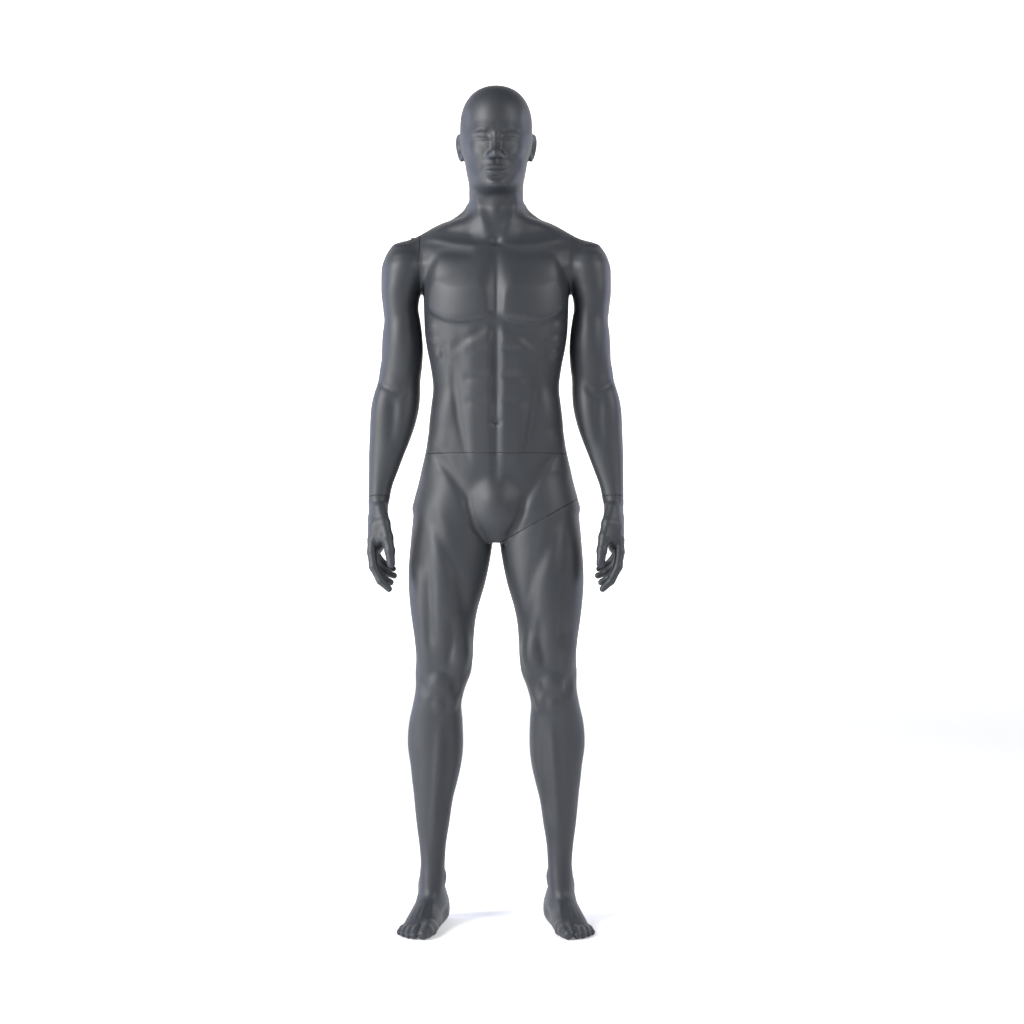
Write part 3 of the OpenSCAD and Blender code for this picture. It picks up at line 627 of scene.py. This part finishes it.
def plain_figure(p):
    """The figure without its muscles and strokes. It works on a sparse grid as well."""
    z = p[2]
    d = limb(p, TORSO)
    d = soft_min(d, ellipsoid(p, (0, -44, 936), (60, 64, 71)), 18)
    d = soft_min(d, limb(p, NECK), 26)
    d = soft_min(d, cone(p, (20, 44, 1597), (118, 32, 1530), 22, 23), 26)
    d = soft_min(d, cone(p, (112, 30, 1530), (208, 12, 1486), 25, 24), 18)
    arm = soft_min(limb(p, ARM), ellipsoid(p, (203, 8, 1452), (45, 62, 58)), 14)
    d = soft_min(d, arm, 1.5 + 24 * smooth_step(1372, 1440, z))
    d = soft_min(d, limb(p, LEG), 4 + 16 * smooth_step(850, 900, z))
    if z.min() < 190:
        d = np.where(z < 190, soft_min(d, foot(p), 16), d)
    if z.max() > 1590:
        d = np.where(z > 1590, soft_min(d, head(p), 24), d)
    return np.maximum(d, -z)


def figure(p):
    """Distance outside the skin of the figure without its hands, in millimetres. It reads
    |x|, so the figure is the same on both sides."""
    p = (np.abs(p[0]), p[1], p[2])
    h = carve(p, MOUNDS, STROKES) + chest(p) + belly(p)
    for region, lift in ((p[2] > 1590, face_lift), (p[2] < 150, foot_lift)):
        if region.any():
            h[region] += lift(tuple(c[region] for c in p))
    # nothing is carved into the sole
    return np.maximum(plain_figure(p) - h * smooth_step(0, 3, p[2]), -p[2])


# %% [markdown]
# A grid of samples becomes a mesh where the field is zero. Each corner is then moved onto
# the true zero of the field by Newton's steps, so the grid leaves no trace. The head and the
# feet are divided once more before that, and the face and the toes twice.

# %% From field to mesh
def grid_values(field, axes):
    """The field on a grid, worked out forty levels at a time."""
    x, y, z = axes
    parts = [
        field((x[:, None, None], y[None, :, None], z[None, None, i:i + 40]))
        for i in range(0, len(z), 40)
    ]
    return np.concatenate(parts, axis=2).astype(np.float32)


def zero_quads(values, low, step):
    """Corners and quads of the zero surface of a grid of samples."""
    grid = openvdb.FloatGrid(background=float(step * 3))
    grid.copyFromArray(values, tolerance=0)
    points, quads = grid.convertToQuads(isovalue=0.0)
    return points * step + np.array(low), quads


def settle(field, v, rounds=3, step=0.3):
    """Newton's steps onto the zero of the field: v - f grad / |grad|^2, with the gradient
    taken as the change over a short step along each axis."""
    for _ in range(rounds):
        f = field(tuple(v.T))
        grad = np.stack([(field(tuple((v + e).T)) - f) / step for e in np.eye(3) * step], axis=1)
        size = np.maximum((grad**2).sum(1), 0.3)
        move = -(f / size)[:, None] * grad
        length = np.linalg.norm(move, axis=1, keepdims=True)
        v = v + move * np.minimum(1, 2.5 / np.maximum(length, 1e-6))
    return v


def relax(v, edges, share=0.5):
    """Each corner goes part of the way to the mean of its neighbours, which evens out the
    quads before the last steps bring it back to the skin."""
    total = np.zeros_like(v)
    count = np.zeros(len(v))
    for a, b in ((0, 1), (1, 0)):
        for axis in range(3):
            total[:, axis] += np.bincount(edges[:, a], v[edges[:, b], axis], len(v))
        count += np.bincount(edges[:, a], minlength=len(v))
    return v + share * (total / count[:, None] - v)


def new_object(name, mesh):
    obj = bpy.data.objects.new(name, mesh)
    bpy.context.scene.collection.objects.link(obj)
    return obj


def divide(bm, inside):
    """Cuts every edge whose two ends are inside a region, which makes four quads of one."""
    edges = [e for e in bm.edges if inside(e.verts[0].co) and inside(e.verts[1].co)]
    bmesh.ops.subdivide_edges(bm, edges=edges, cuts=1, use_grid_fill=True)


def skin(field, v, quads, regions):
    """A bmesh of the field's zero surface, in millimetres, finer inside the regions."""
    mesh = bpy.data.meshes.new("skin")
    mesh.from_pydata(v.tolist(), [], quads.tolist())
    bm = bmesh.new()
    bm.from_mesh(mesh)
    for region in regions:
        divide(bm, region)
    bm.to_mesh(mesh)
    bm.free()
    v = np.empty(len(mesh.vertices) * 3)
    mesh.vertices.foreach_get("co", v)
    edges = np.empty(len(mesh.edges) * 2, dtype=np.int32)
    mesh.edges.foreach_get("vertices", edges)
    edges = edges.reshape(-1, 2)
    v = settle(field, v.reshape(-1, 3), 2)
    for _ in range(2):
        v = relax(v, edges)
    v = settle(field, v, 2)
    mesh.vertices.foreach_set("co", v.ravel())
    bm = bmesh.new()
    bm.from_mesh(mesh)
    bpy.data.meshes.remove(mesh)
    return bm


def head_and_feet(c):
    """Where the skin is divided once more."""
    return c.z > 1596 or c.z < 56


def face_and_toes(c):
    """Where it is divided a second time."""
    face = c.y < -58 and abs(c.x) < 50 and 1612 < c.z < 1765
    toes = c.y < -66 and c.z < 42
    return face or toes


body_step = 4.6
half_x = np.arange(0, 292, body_step)
axes = (half_x, np.arange(-140, 140, body_step), np.arange(-8, 1872, body_step))
half = grid_values(plain_figure, axes)
values = np.concatenate([half[:0:-1], half])
v, quads = zero_quads(values, (-half_x[-1], axes[1][0], axes[2][0]), body_step)
body = skin(figure, v, quads, [head_and_feet, face_and_toes])
print("figure", len(body.verts), "corners", len(body.faces), "faces")

# %% [markdown]
# The seams. The skin is cut on both sides of each seam, which leaves a strip out, and the
# pieces fall apart. Each open edge then gets a rounded lip, the thickness of the wall, an
# inner wall and a floor behind the closing plate, so every piece is a closed shell. The
# lips are what a person sees as the fine dark line round a mannequin's waist.

# %% Seams
LIP = 0.9  # radius of the rounded edge
WALL = 4.5  # thickness of the shell
SEAM_GAP = 0.5  # between the two edges of a seam
DEPTH = 20  # from a seam to the floor inside the shell
WRIST_X, WRIST_Y, WRIST_Z = 257, -25, 950
WRIST_LEAN = np.radians(11)
LEG_SLOPE = np.radians(29.2)


def seam(point, normal, region):
    return {"point": Vector(point), "normal": Vector(normal).normalized(), "region": region}


wrist_up = (0, np.sin(WRIST_LEAN), np.cos(WRIST_LEAN))
SEAMS = {
    "waist": seam((0, 0, 1047), (0, 0, 1), lambda c: abs(c.x) < 185 and 1030 < c.z < 1064),
    "shoulder": seam((-168, 8, 1456), (1, 0, 0), lambda c: c.z > 1351 and c.x < -150),
    "right_wrist": seam((-WRIST_X, WRIST_Y, WRIST_Z), wrist_up,
                        lambda c: c.x < -195 and 925 < c.z < 975),
    "left_wrist": seam((WRIST_X, WRIST_Y, WRIST_Z), wrist_up,
                       lambda c: c.x > 195 and 925 < c.z < 975),
    "left_leg": seam((103, 5, 905), (-np.sin(LEG_SLOPE), 0, np.cos(LEG_SLOPE)),
                     lambda c: 0.5 < c.x < 195 and 800 < c.z < 1000),
}


def part_along(bm, cut):
    """Leaves out the strip of skin within half the gap and the lip of a seam."""
    half_strip = SEAM_GAP / 2 + LIP
    for side in (1, -1):
        faces = [f for f in bm.faces if cut["region"](f.calc_center_median())]
        edges = list({e for f in faces for e in f.edges})
        corners = list({x for f in faces for x in f.verts})
        bmesh.ops.bisect_plane(bm, geom=faces + edges + corners, dist=1e-5, plane_no=cut["normal"],
                               plane_co=cut["point"] + side * half_strip * cut["normal"])
    strip = [f for f in bm.faces if cut["region"](f.calc_center_median())
             and abs((f.calc_center_median() - cut["point"]).dot(cut["normal"])) < half_strip]
    bmesh.ops.delete(bm, geom=strip, context="FACES")


def component(bm, near):
    """A copy of the one connected piece that holds the corner nearest to a point."""
    near = Vector(near)
    seed = min(bm.verts, key=lambda x: (x.co - near).length_squared)
    found, front = {seed}, {seed}
    while front:
        reached = {o for x in front for e in x.link_edges for o in e.verts}
        front = reached - found
        found |= reached
    piece = bm.copy()
    piece.verts.ensure_lookup_table()
    bm.verts.index_update()
    keep = {x.index for x in found}
    bmesh.ops.delete(piece, geom=[x for x in piece.verts if x.index not in keep], context="VERTS")
    return piece


def open_loops(bm):
    """The open edges of a mesh as closed lists of corners."""
    edges = {e for e in bm.edges if len(e.link_faces) == 1}
    loops = []
    while edges:
        edge = edges.pop()
        loop = [edge.verts[0], edge.verts[1]]
        while True:
            onward = [e for e in loop[-1].link_edges if e in edges]
            if not onward:
                break
            edges.discard(onward[0])
            loop.append(onward[0].other_vert(loop[-1]))
        loops.append(loop[:-1] if loop[0] is loop[-1] else loop)
    return loops


def even(values, rounds):
    """Evens out a list of vectors round a loop, each with its two neighbours."""
    for _ in range(rounds):
        values = (values + np.roll(values, 1, 0) + np.roll(values, -1, 0)) / 3
    return values


def close_end(bm, loop, outward):
    """Adds the lip, wall and floor to one open loop. `outward` points across the seam. The
    lip is a quarter circle: sin(a) outward and 1 - cos(a) inward. It returns the inner
    wall's outline at the seam."""
    bm.normal_update()
    p = np.array([x.co for x in loop])
    n = np.array([x.normal for x in loop])
    outward = np.array(outward)
    inward = -(n - (n @ outward)[:, None] * outward)
    inward = even(inward / np.maximum(np.linalg.norm(inward, axis=1, keepdims=True), 1e-6), 24)
    inward /= np.linalg.norm(inward, axis=1, keepdims=True)
    rings = [(LIP * np.sin(a), LIP * (1 - np.cos(a))) for a in np.radians((30, 60, 90))]
    rings += [(LIP, LIP + WALL), (LIP - DEPTH, LIP + WALL)]
    before = loop
    for out, into in rings:
        q = p + out * outward + into * inward
        if into > WALL:
            q = even(q, 2)
            q += (out * outward) - ((q - p) @ outward)[:, None] * outward
        ring = [bm.verts.new(c) for c in q]
        for a, b, c, d in zip(before, before[1:] + before[:1], ring[1:] + ring[:1], ring):
            bm.faces.new((a, b, c, d))
        before = ring
        if (out, into) == rings[3]:
            outline = q
    edges = [bm.edges.get((a, b)) for a, b in zip(before, before[1:] + before[:1])]
    bmesh.ops.triangle_fill(bm, edges=edges, use_beauty=True)
    return outline


def finish_piece(bm, name, body_name, *nodes, slot="paint"):
    """Turns a closed bmesh in millimetres into an object in metres, riding on its body."""
    bmesh.ops.recalc_face_normals(bm, faces=bm.faces)
    bmesh.ops.scale(bm, vec=(mm, mm, mm), verts=bm.verts)
    mesh = bpy.data.meshes.new(name)
    bm.to_mesh(mesh)
    bm.free()
    mesh.shade_smooth()
    mesh.set_sharp_from_angle(angle=np.radians(50))
    obj = new_object(name, mesh)
    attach(obj, body_name)
    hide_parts(*nodes)
    print(name, len(mesh.polygons), "faces,", len(loose_edges(mesh)), "open edges")
    return obj


def drill(obj, start, end, radius):
    """Takes a round hole between two points, in millimetres, out of a closed piece."""
    start, end = Vector(start) * mm, Vector(end) * mm
    bm = bmesh.new()
    bmesh.ops.create_cone(bm, cap_ends=True, segments=48, radius1=radius * mm, radius2=radius * mm,
                          depth=(end - start).length)
    turn = (end - start).to_track_quat("Z", "Y").to_matrix().to_4x4()
    bm.transform(Matrix.Translation((start + end) / 2) @ turn)
    cutter_mesh = bpy.data.meshes.new("cutter")
    bm.to_mesh(cutter_mesh)
    bm.free()
    cutter = new_object("cutter", cutter_mesh)
    cut = obj.modifiers.new("hole", "BOOLEAN")
    cut.object = cutter
    cut.operation = "DIFFERENCE"
    cut.solver = "FAST"
    bpy.context.view_layer.update()
    cut_object = obj.evaluated_get(bpy.context.evaluated_depsgraph_get())
    drilled = bpy.data.meshes.new_from_object(cut_object)
    obj.modifiers.clear()
    obj.data = drilled
    bpy.data.objects.remove(cutter)
    print(obj.name, "drilled,", len(drilled.polygons), "faces,", len(loose_edges(drilled)), "open edges")


def loose_edges(mesh):
    """Edges that do not have exactly two faces."""
    ids = np.empty(len(mesh.loops), dtype=np.int32)
    mesh.loops.foreach_get("edge_index", ids)
    return np.flatnonzero(np.bincount(ids, minlength=len(mesh.edges)) != 2)


for cut in SEAMS.values():
    part_along(body, cut)

PIECES = {
    "chest_and_head": ("upper_body", "chest_and_head_shell", (0, -100, 1400)),
    "right_arm": ("right_arm", "right_arm_shell", (-255, 0, 1350)),
    "hips_and_right_leg": ("hips_and_right_leg", "hips_and_right_leg_shell", (-120, -80, 700)),
    "left_leg": ("left_leg", "left_leg_shell", (120, -80, 700)),
}
# The inner wall's outline at each seam, by the seam's name and the piece's side of it: 1
# is the side that the seam's normal points to, -1 the other
outlines = {}
shells = {}
for name, (body_name, node, near) in PIECES.items():
    piece = component(body, near)
    for loop in open_loops(piece):
        middle = sum((x.co for x in loop), Vector()) / len(loop)
        cut_name = min(SEAMS, key=lambda k: (SEAMS[k]["point"] - middle).length)
        cut = SEAMS[cut_name]
        side = -1 if (middle - cut["point"]).dot(cut["normal"]) > 0 else 1
        outlines[cut_name, -side] = close_end(piece, loop, side * cut["normal"])
        print(name, cut_name, side, len(loop))
    shells[name] = finish_piece(piece, name, body_name, node)
body.free()
ROD_SOCKET_RADIUS = 9.4
drill(shells["hips_and_right_leg"], (-143, 46, -6), (-143, 46, 63), ROD_SOCKET_RADIUS)
drill(shells["hips_and_right_leg"], (-134, 61, 340), (-134, 140, 340), ROD_SOCKET_RADIUS)

# %% [markdown]
# The plywood plates that close the shells lie 4 mm inside each seam. They follow the inner
# wall that was just made, which is what a fitter does with a jigsaw and a paper pattern.

# %% Closing plates
PLATE_SET = 4  # from the seam to the plate
PLATE_EASE = 0.4 / 60  # how much smaller the plate is than the opening
TRUNK_PLATE = 12  # thickness of the larger plates
WRIST_PLATE = 8


def plate(name, body_name, cut_name, side, thick, holes=()):
    """A prism between the inner wall's outline at two depths, with round holes. `side` is
    1 for the piece on the far side of the seam's normal."""
    cut = SEAMS[cut_name]
    n = np.array(cut["normal"]) * side
    outline = outlines[cut_name, side]
    middle = outline.mean(0)
    start = outline + n * ((np.array(cut["point"]) - outline) @ n)[:, None]
    start = middle + (start - middle) * (1 - PLATE_EASE)
    across = np.cross(n, (0, 1, 0) if abs(n[1]) < 0.9 else (1, 0, 0))
    across /= np.linalg.norm(across)
    up = np.cross(n, across)
    angle = np.linspace(0, 2 * np.pi, 48, endpoint=False)[:, None]
    rims = [start]
    for along_x, radius in holes:
        centre = np.array(cut["point"]) + along_x * across
        rims.append(centre + radius * (np.cos(angle) * across + np.sin(angle) * up))
    bm = bmesh.new()
    levels = []
    for depth in (PLATE_SET, PLATE_SET + thick):
        rings = [[bm.verts.new(c) for c in rim + depth * n] for rim in rims]
        edges = [bm.edges.new((a, b)) for ring in rings for a, b in zip(ring, ring[1:] + ring[:1])]
        bmesh.ops.triangle_fill(bm, edges=edges, use_beauty=True)
        levels.append(rings)
    for low, high in zip(*levels):
        for a, b, c, d in zip(low, low[1:] + low[:1], high[1:] + high[:1], high):
            bm.faces.new((a, b, c, d))
    return finish_piece(bm, name, body_name, name, slot="plywood")


plates = [
    plate("chest_waist_plate", "upper_body", "waist", 1, TRUNK_PLATE),
    plate("hip_waist_plate", "hips_and_right_leg", "waist", -1, TRUNK_PLATE, [(0, 21.6)]),
    plate("chest_shoulder_plate", "upper_body", "shoulder", 1, TRUNK_PLATE, [(0, 15.6)]),
    plate("arm_shoulder_plate", "right_arm", "shoulder", -1, TRUNK_PLATE, [(0, 17.3)]),
    plate("hip_leg_plate", "hips_and_right_leg", "left_leg", 1, TRUNK_PLATE,
          [(-44, 11.6), (0, 15.6), (44, 11.6)]),
    plate("leg_seam_plate", "left_leg", "left_leg", -1, TRUNK_PLATE, [(0, 15.6)]),
    plate("right_wrist_plate", "right_arm", "right_wrist", 1, WRIST_PLATE, [(0, 9.6)]),
    plate("left_wrist_plate", "upper_body", "left_wrist", 1, WRIST_PLATE, [(0, 9.6)]),
]

# %% [markdown]
# A hand is a palm with five round-jointed fingers, in the frame of its wrist. It is one
# piece with a socket in its end, and the right hand is the left one's mirror image.

# %% Hands
PALM = [
    [14, -27, 23, -33, 28, 2.2],
    [0, -24, 23, -32, 27, 2.2],
    [-14, -21, 23, -31, 27, 2.2],
    [-28, -20, 22, -32, 29, 2.2],
    [-48, -17, 22.5, -38, 35, 2.3],
    [-72, -13, 22.5, -42, 39, 2.4],
    [-96, -12, 22.5, -40, 39, 2.3],
    [-114, -10, 20, -35, 36, 2.2],
    [-126, 1, 16, -28, 30, 2.1],
]
# [x outwards, y backwards, z, radius]
FINGERS = [
    [[11.5, -28, -98, 11], [12, -30, -126, 10.6], [7, -33, -160, 9.8],
     [-8, -34, -190, 8.6], [-26, -33, -207, 7.2]],
    [[12, -9, -102, 11], [12, -10, -130, 10.4], [6, -11, -160, 9.6],
     [-12, -11, -180, 8.4], [-28, -10, -189, 7.2]],
    [[12, 10, -98, 10.8], [11, 10, -124, 10], [1, 11, -150, 9.2],
     [-17, 11, -164, 8.2], [-34, 11, -171, 7]],
    [[11, 28, -92, 9.8], [10, 29, -114, 9], [-2, 30, -134, 8.2],
     [-17, 30, -146, 7.4], [-31, 30, -153, 6.4]],
]
THUMB = [[-4, -26, -30, 14], [-14, -38, -64, 13.5], [-22, -45, -96, 12.6],
         [-28, -48, -126, 11], [-31, -48, -155, 9]]


def hand(p):
    """Distance outside the skin of a left hand, in the wrist's frame."""
    d = soft_min(limb(p, PALM), chain(p, THUMB, 5), 12)
    for joints in FINGERS:
        d = soft_min(d, chain(p, joints, 3), 4)
    web = cone(p, (2, -30, -70), (-10, -38, -98), 14, 9)
    d = soft_min(d, web, 12)
    h = mound(p, (24, 6, -28), (9, 11, 14), 1.4)
    for joints in FINGERS:
        x, y, z, r = joints[0]
        h = h + mound(p, (x + 8, y, z - 2), (10, 10, 14), 0.6)
        h = h + stroke(p, [(24, y * 0.5, -30), (x + 9, y, z)], 4, 0.7)
        for kx, ky, kz, kr in joints[2:4]:
            h = h + mound(p, (kx + kr * 0.8, ky, kz + kr * 0.5), (kr, kr * 1.1, kr), 1.1)
            h = h + stroke(p, [(kx - kr * 0.7, ky - 5, kz - 3), (kx - kr * 0.7, ky + 5, kz - 3)], 2.2, -1.0)
    for (x0, y0, z0, r0), (x, y, z, r) in [joints[-2:] for joints in FINGERS]:
        h = h - mound(p, (x + r * 0.75, y, z + r * 0.65), (r * 0.9, r * 0.75, r * 1.1), 0.9, 0, 0.2)
    x, y, z, r = THUMB[-1]
    h = h - mound(p, (x + 3, y - r * 0.8, z + 2), (r * 0.8, r, r * 1.2), 0.9, 0, 0.2)
    # folds between the knuckles of the fingers, and the heel of the thumb in the palm
    for y in (-19.5, 1.5, 23):
        h = h + stroke(p, [(26, y, -98), (24, y, -116)], 3, -1.4)
    h = h + mound(p, (-16, -20, -50), (14, 22, 30), 3)
    return d - h


hand_step = 1.6
hand_axes = (np.arange(-46, 44, hand_step), np.arange(-66, 54, hand_step), np.arange(-216, 16, hand_step))
dense = np.meshgrid(*hand_axes, indexing="ij")
v, quads = zero_quads(hand(dense).astype(np.float32), [a[0] for a in hand_axes], hand_step)
left = skin(hand, v, quads, [])
cap = SEAM_GAP / 2 + LIP
faces = list(left.faces) + list(left.edges) + list(left.verts)
bmesh.ops.bisect_plane(left, geom=faces, dist=1e-5, plane_co=(0, 0, -cap), plane_no=(0, 0, 1),
                       clear_outer=True)
SOCKET_RADIUS = 12.6
SOCKET_DEPTH = 27


def socket_end(bm, loop):
    """Closes the hand's end with a lip and a flat face that has a round blind hole in it."""
    p = np.array([x.co for x in loop])
    before = loop
    middle = np.array((0, 0, -cap))
    spoke = p - middle
    angle = np.arctan2(spoke[:, 1], spoke[:, 0])
    unit = np.stack([np.cos(angle), np.sin(angle), np.zeros(len(p))], 1)
    circle = SOCKET_RADIUS * unit
    up = np.array((0, 0, 1))
    rings = [p + LIP * (np.sin(a) * up - (1 - np.cos(a)) * unit) for a in np.radians((30, 60, 90))]
    top = np.array((0, 0, -SEAM_GAP / 2))
    rings += [circle + top, circle + top - SOCKET_DEPTH * up]
    for q in rings:
        ring = [bm.verts.new(c) for c in q]
        for a, b, c, d in zip(before, before[1:] + before[:1], ring[1:] + ring[:1], ring):
            bm.faces.new((a, b, c, d))
        before = ring
    bm.faces.new(before)


socket_end(left, open_loops(left)[0])
hands = {}
for side, name in ((1, "left_hand"), (-1, "right_hand")):
    piece = left.copy()
    c, s = np.cos(-WRIST_LEAN), np.sin(-WRIST_LEAN)
    for x in piece.verts:
        a, b, z = x.co
        x.co = (side * (WRIST_X + a), WRIST_Y + b * c - z * s, WRIST_Z + b * s + z * c)
    if side < 0:
        bmesh.ops.reverse_faces(piece, faces=piece.faces)
    hands[name] = finish_piece(piece, name, name, name)
left.free()


# %% [markdown]
# The finish is a satin two-pack paint sprayed over sanded fibreglass. Sprayed paint dries
# with a fine ripple a few millimetres across, and its gloss is never quite even.

# %% Materials
def linear(code):
    """sRGB hex to linear colour, by the standard's curve."""
    c = np.array([int(code[i:i + 2], 16) / 255 for i in (1, 3, 5)])
    return tuple(np.where(c <= 0.04045, c / 12.92, ((c + 0.055) / 1.055) ** 2.4)) + (1.0,)


def add_node(tree, kind, links=(), **settings):
    """Adds a node, sets its inputs and properties by name, and links sockets into it."""
    node = tree.nodes.new(kind)
    for name, value in settings.items():
        key = name.replace("_", " ")
        if key in node.inputs:
            node.inputs[key].default_value = value
        else:
            setattr(node, name, value)
    for source, target in links:
        tree.links.new(source, node.inputs[target])
    return node


def new_material(name, **inputs):
    material = bpy.data.materials.new(name)
    material.use_nodes = True
    shader = material.node_tree.nodes["Principled BSDF"]
    for key, value in inputs.items():
        shader.inputs[key.replace("_", " ")].default_value = value
    return material, material.node_tree, shader


def between(tree, factor, low, high):
    """A colour that goes from low to high with a factor."""
    ramp = add_node(tree, "ShaderNodeValToRGB", [(factor, "Fac")])
    ramp.color_ramp.elements[0].color = linear(low)
    ramp.color_ramp.elements[1].color = linear(high)
    return ramp.outputs["Color"]


def satin_paint():
    material, tree, shader = new_material("satin_two_pack_paint", IOR=1.5)
    place = add_node(tree, "ShaderNodeTexCoord").outputs["Object"]
    patches = add_node(tree, "ShaderNodeTexNoise", [(place, "Vector")], Scale=6.0, Detail=3.0)
    colour = between(tree, patches.outputs["Fac"], "#26292e", "#2c2f33")
    tree.links.new(colour, shader.inputs["Base Color"])
    gloss = add_node(tree, "ShaderNodeMapRange", [(patches.outputs["Fac"], "Value")],
                     To_Min=0.48, To_Max=0.56)
    tree.links.new(gloss.outputs["Result"], shader.inputs["Roughness"])
    ripple = add_node(tree, "ShaderNodeTexNoise", [(place, "Vector")], Scale=420.0, Detail=2.0)
    bump = add_node(tree, "ShaderNodeBump", [(ripple.outputs["Fac"], "Height")],
                    Strength=0.10, Distance=0.0003)
    tree.links.new(bump.outputs["Normal"], shader.inputs["Normal"])
    return material


def painted_plywood():
    material, tree, shader = new_material("painted_birch_plywood", IOR=1.5, Roughness=0.55)
    place = add_node(tree, "ShaderNodeTexCoord").outputs["Object"]
    stretch = add_node(tree, "ShaderNodeMapping", [(place, "Vector")], Scale=(1.0, 12.0, 1.0))
    grain = add_node(tree, "ShaderNodeTexNoise", [(stretch.outputs["Vector"], "Vector")],
                     Scale=60.0, Detail=5.0)
    colour = between(tree, grain.outputs["Fac"], "#26282d", "#3a3d43")
    tree.links.new(colour, shader.inputs["Base Color"])
    bump = add_node(tree, "ShaderNodeBump", [(grain.outputs["Fac"], "Height")], Strength=0.3, Distance=0.0006)
    tree.links.new(bump.outputs["Normal"], shader.inputs["Normal"])
    return material


def zinc_steel():
    material, tree, shader = new_material("zinc_plated_steel", Metallic=1.0)
    place = add_node(tree, "ShaderNodeTexCoord").outputs["Object"]
    cloud = add_node(tree, "ShaderNodeTexNoise", [(place, "Vector")], Scale=90.0, Detail=4.0)
    colour = between(tree, cloud.outputs["Fac"], "#b4b7bb", "#d2d5d8")
    tree.links.new(colour, shader.inputs["Base Color"])
    gloss = add_node(tree, "ShaderNodeMapRange", [(cloud.outputs["Fac"], "Value")], To_Min=0.22, To_Max=0.36)
    tree.links.new(gloss.outputs["Result"], shader.inputs["Roughness"])
    return material


def natural_nylon():
    material, tree, shader = new_material("natural_nylon", IOR=1.53, Roughness=0.45)
    place = add_node(tree, "ShaderNodeTexCoord").outputs["Object"]
    cloud = add_node(tree, "ShaderNodeTexNoise", [(place, "Vector")], Scale=120.0, Detail=2.0)
    colour = between(tree, cloud.outputs["Fac"], "#dcd8cb", "#e8e5da")
    tree.links.new(colour, shader.inputs["Base Color"])
    return material


def dress(obj, material):
    obj.data.materials.clear()
    obj.data.materials.append(material)


paint, plywood, steel, nylon = satin_paint(), painted_plywood(), zinc_steel(), natural_nylon()
for obj in list(shells.values()) + list(hands.values()):
    dress(obj, paint)
for obj in plates:
    dress(obj, plywood)
for name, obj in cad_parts.items():
    if name != "waist_slip_washer" and not name.endswith(("_shell", "_plate")) and name not in hands:
        dress(obj, steel)
dress(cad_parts["waist_slip_washer"], nylon)


# %% [markdown]
# The camera stands level at the height of the hip, as in a shop's catalogue picture. The
# wall behind the figure and the floor are white and give off some light, and the rest of
# the surroundings are dim. A large soft light stands at the figure's right, with a low
# strip beside it for the legs, a weaker one at its left and two cooler ones behind.

# %% Camera, floor and light
def lamp(name, place, target, size, power, tint):
    data = bpy.data.lights.new(name, "AREA")
    data.shape = "RECTANGLE"
    data.size, data.size_y = size
    data.energy = power
    data.color = linear(tint)[:3]
    obj = new_object(name, data)
    obj.location = place
    obj.rotation_euler = (Vector(target) - Vector(place)).to_track_quat("-Z", "Y").to_euler()
    return obj


camera_data = bpy.data.cameras.new("camera")
camera_data.sensor_width = 36
camera_data.lens = 66.796875
camera = new_object("camera", camera_data)
camera.location = (0.035, -EYE_DISTANCE * mm, EYE_HEIGHT * mm)
camera.rotation_euler = (np.pi / 2, 0, 0)
bpy.context.scene.camera = camera

def stage_plane(name, corners, shine):
    """A plane of the studio, near white, that gives off a share of light itself."""
    mesh = bpy.data.meshes.new(name)
    mesh.from_pydata(corners, [], [(0, 1, 2, 3)])
    obj = new_object(name, mesh)
    material, _, _ = new_material(name, Roughness=0.9, Base_Color=linear("#f4f4f4"),
                                  Emission_Color=(1, 1, 1, 1), Emission_Strength=shine)
    mesh.materials.append(material)


stage_plane("studio_floor", [(-14, -9, 0), (14, -9, 0), (14, 7, 0), (-14, 7, 0)], 0.2)
stage_plane("studio_wall", [(-14, 7, 0), (14, 7, 0), (14, 7, 9), (-14, 7, 9)], 0.95)

world = bpy.data.worlds.new("studio")
bpy.context.scene.world = world
world.use_nodes = True
world.node_tree.nodes["Background"].inputs["Color"].default_value = linear("#eef0f8")
world.node_tree.nodes["Background"].inputs["Strength"].default_value = 0.22
bpy.context.scene.view_settings.view_transform = "Standard"
lamp("key", (-3.1, -2.4, 3.0), (0, 0, 1.1), (1.6, 2.0), 250, "#ffffff")
lamp("low_strip", (-3.2, -1.3, 0.7), (0, 0, 0.6), (0.5, 1.5), 55, "#ffffff")
lamp("fill", (3.2, -2.0, 3.0), (0, 0, 1.1), (1.2, 2.0), 85, "#ffffff")
lamp("rim_left", (-2.6, 1.0, 1.5), (0, 0, 1.0), (0.8, 2.4), 35, "#c8d2ff")
lamp("rim_right", (2.6, 1.0, 1.5), (0, 0, 1.1), (0.6, 2.2), 30, "#d8deff")
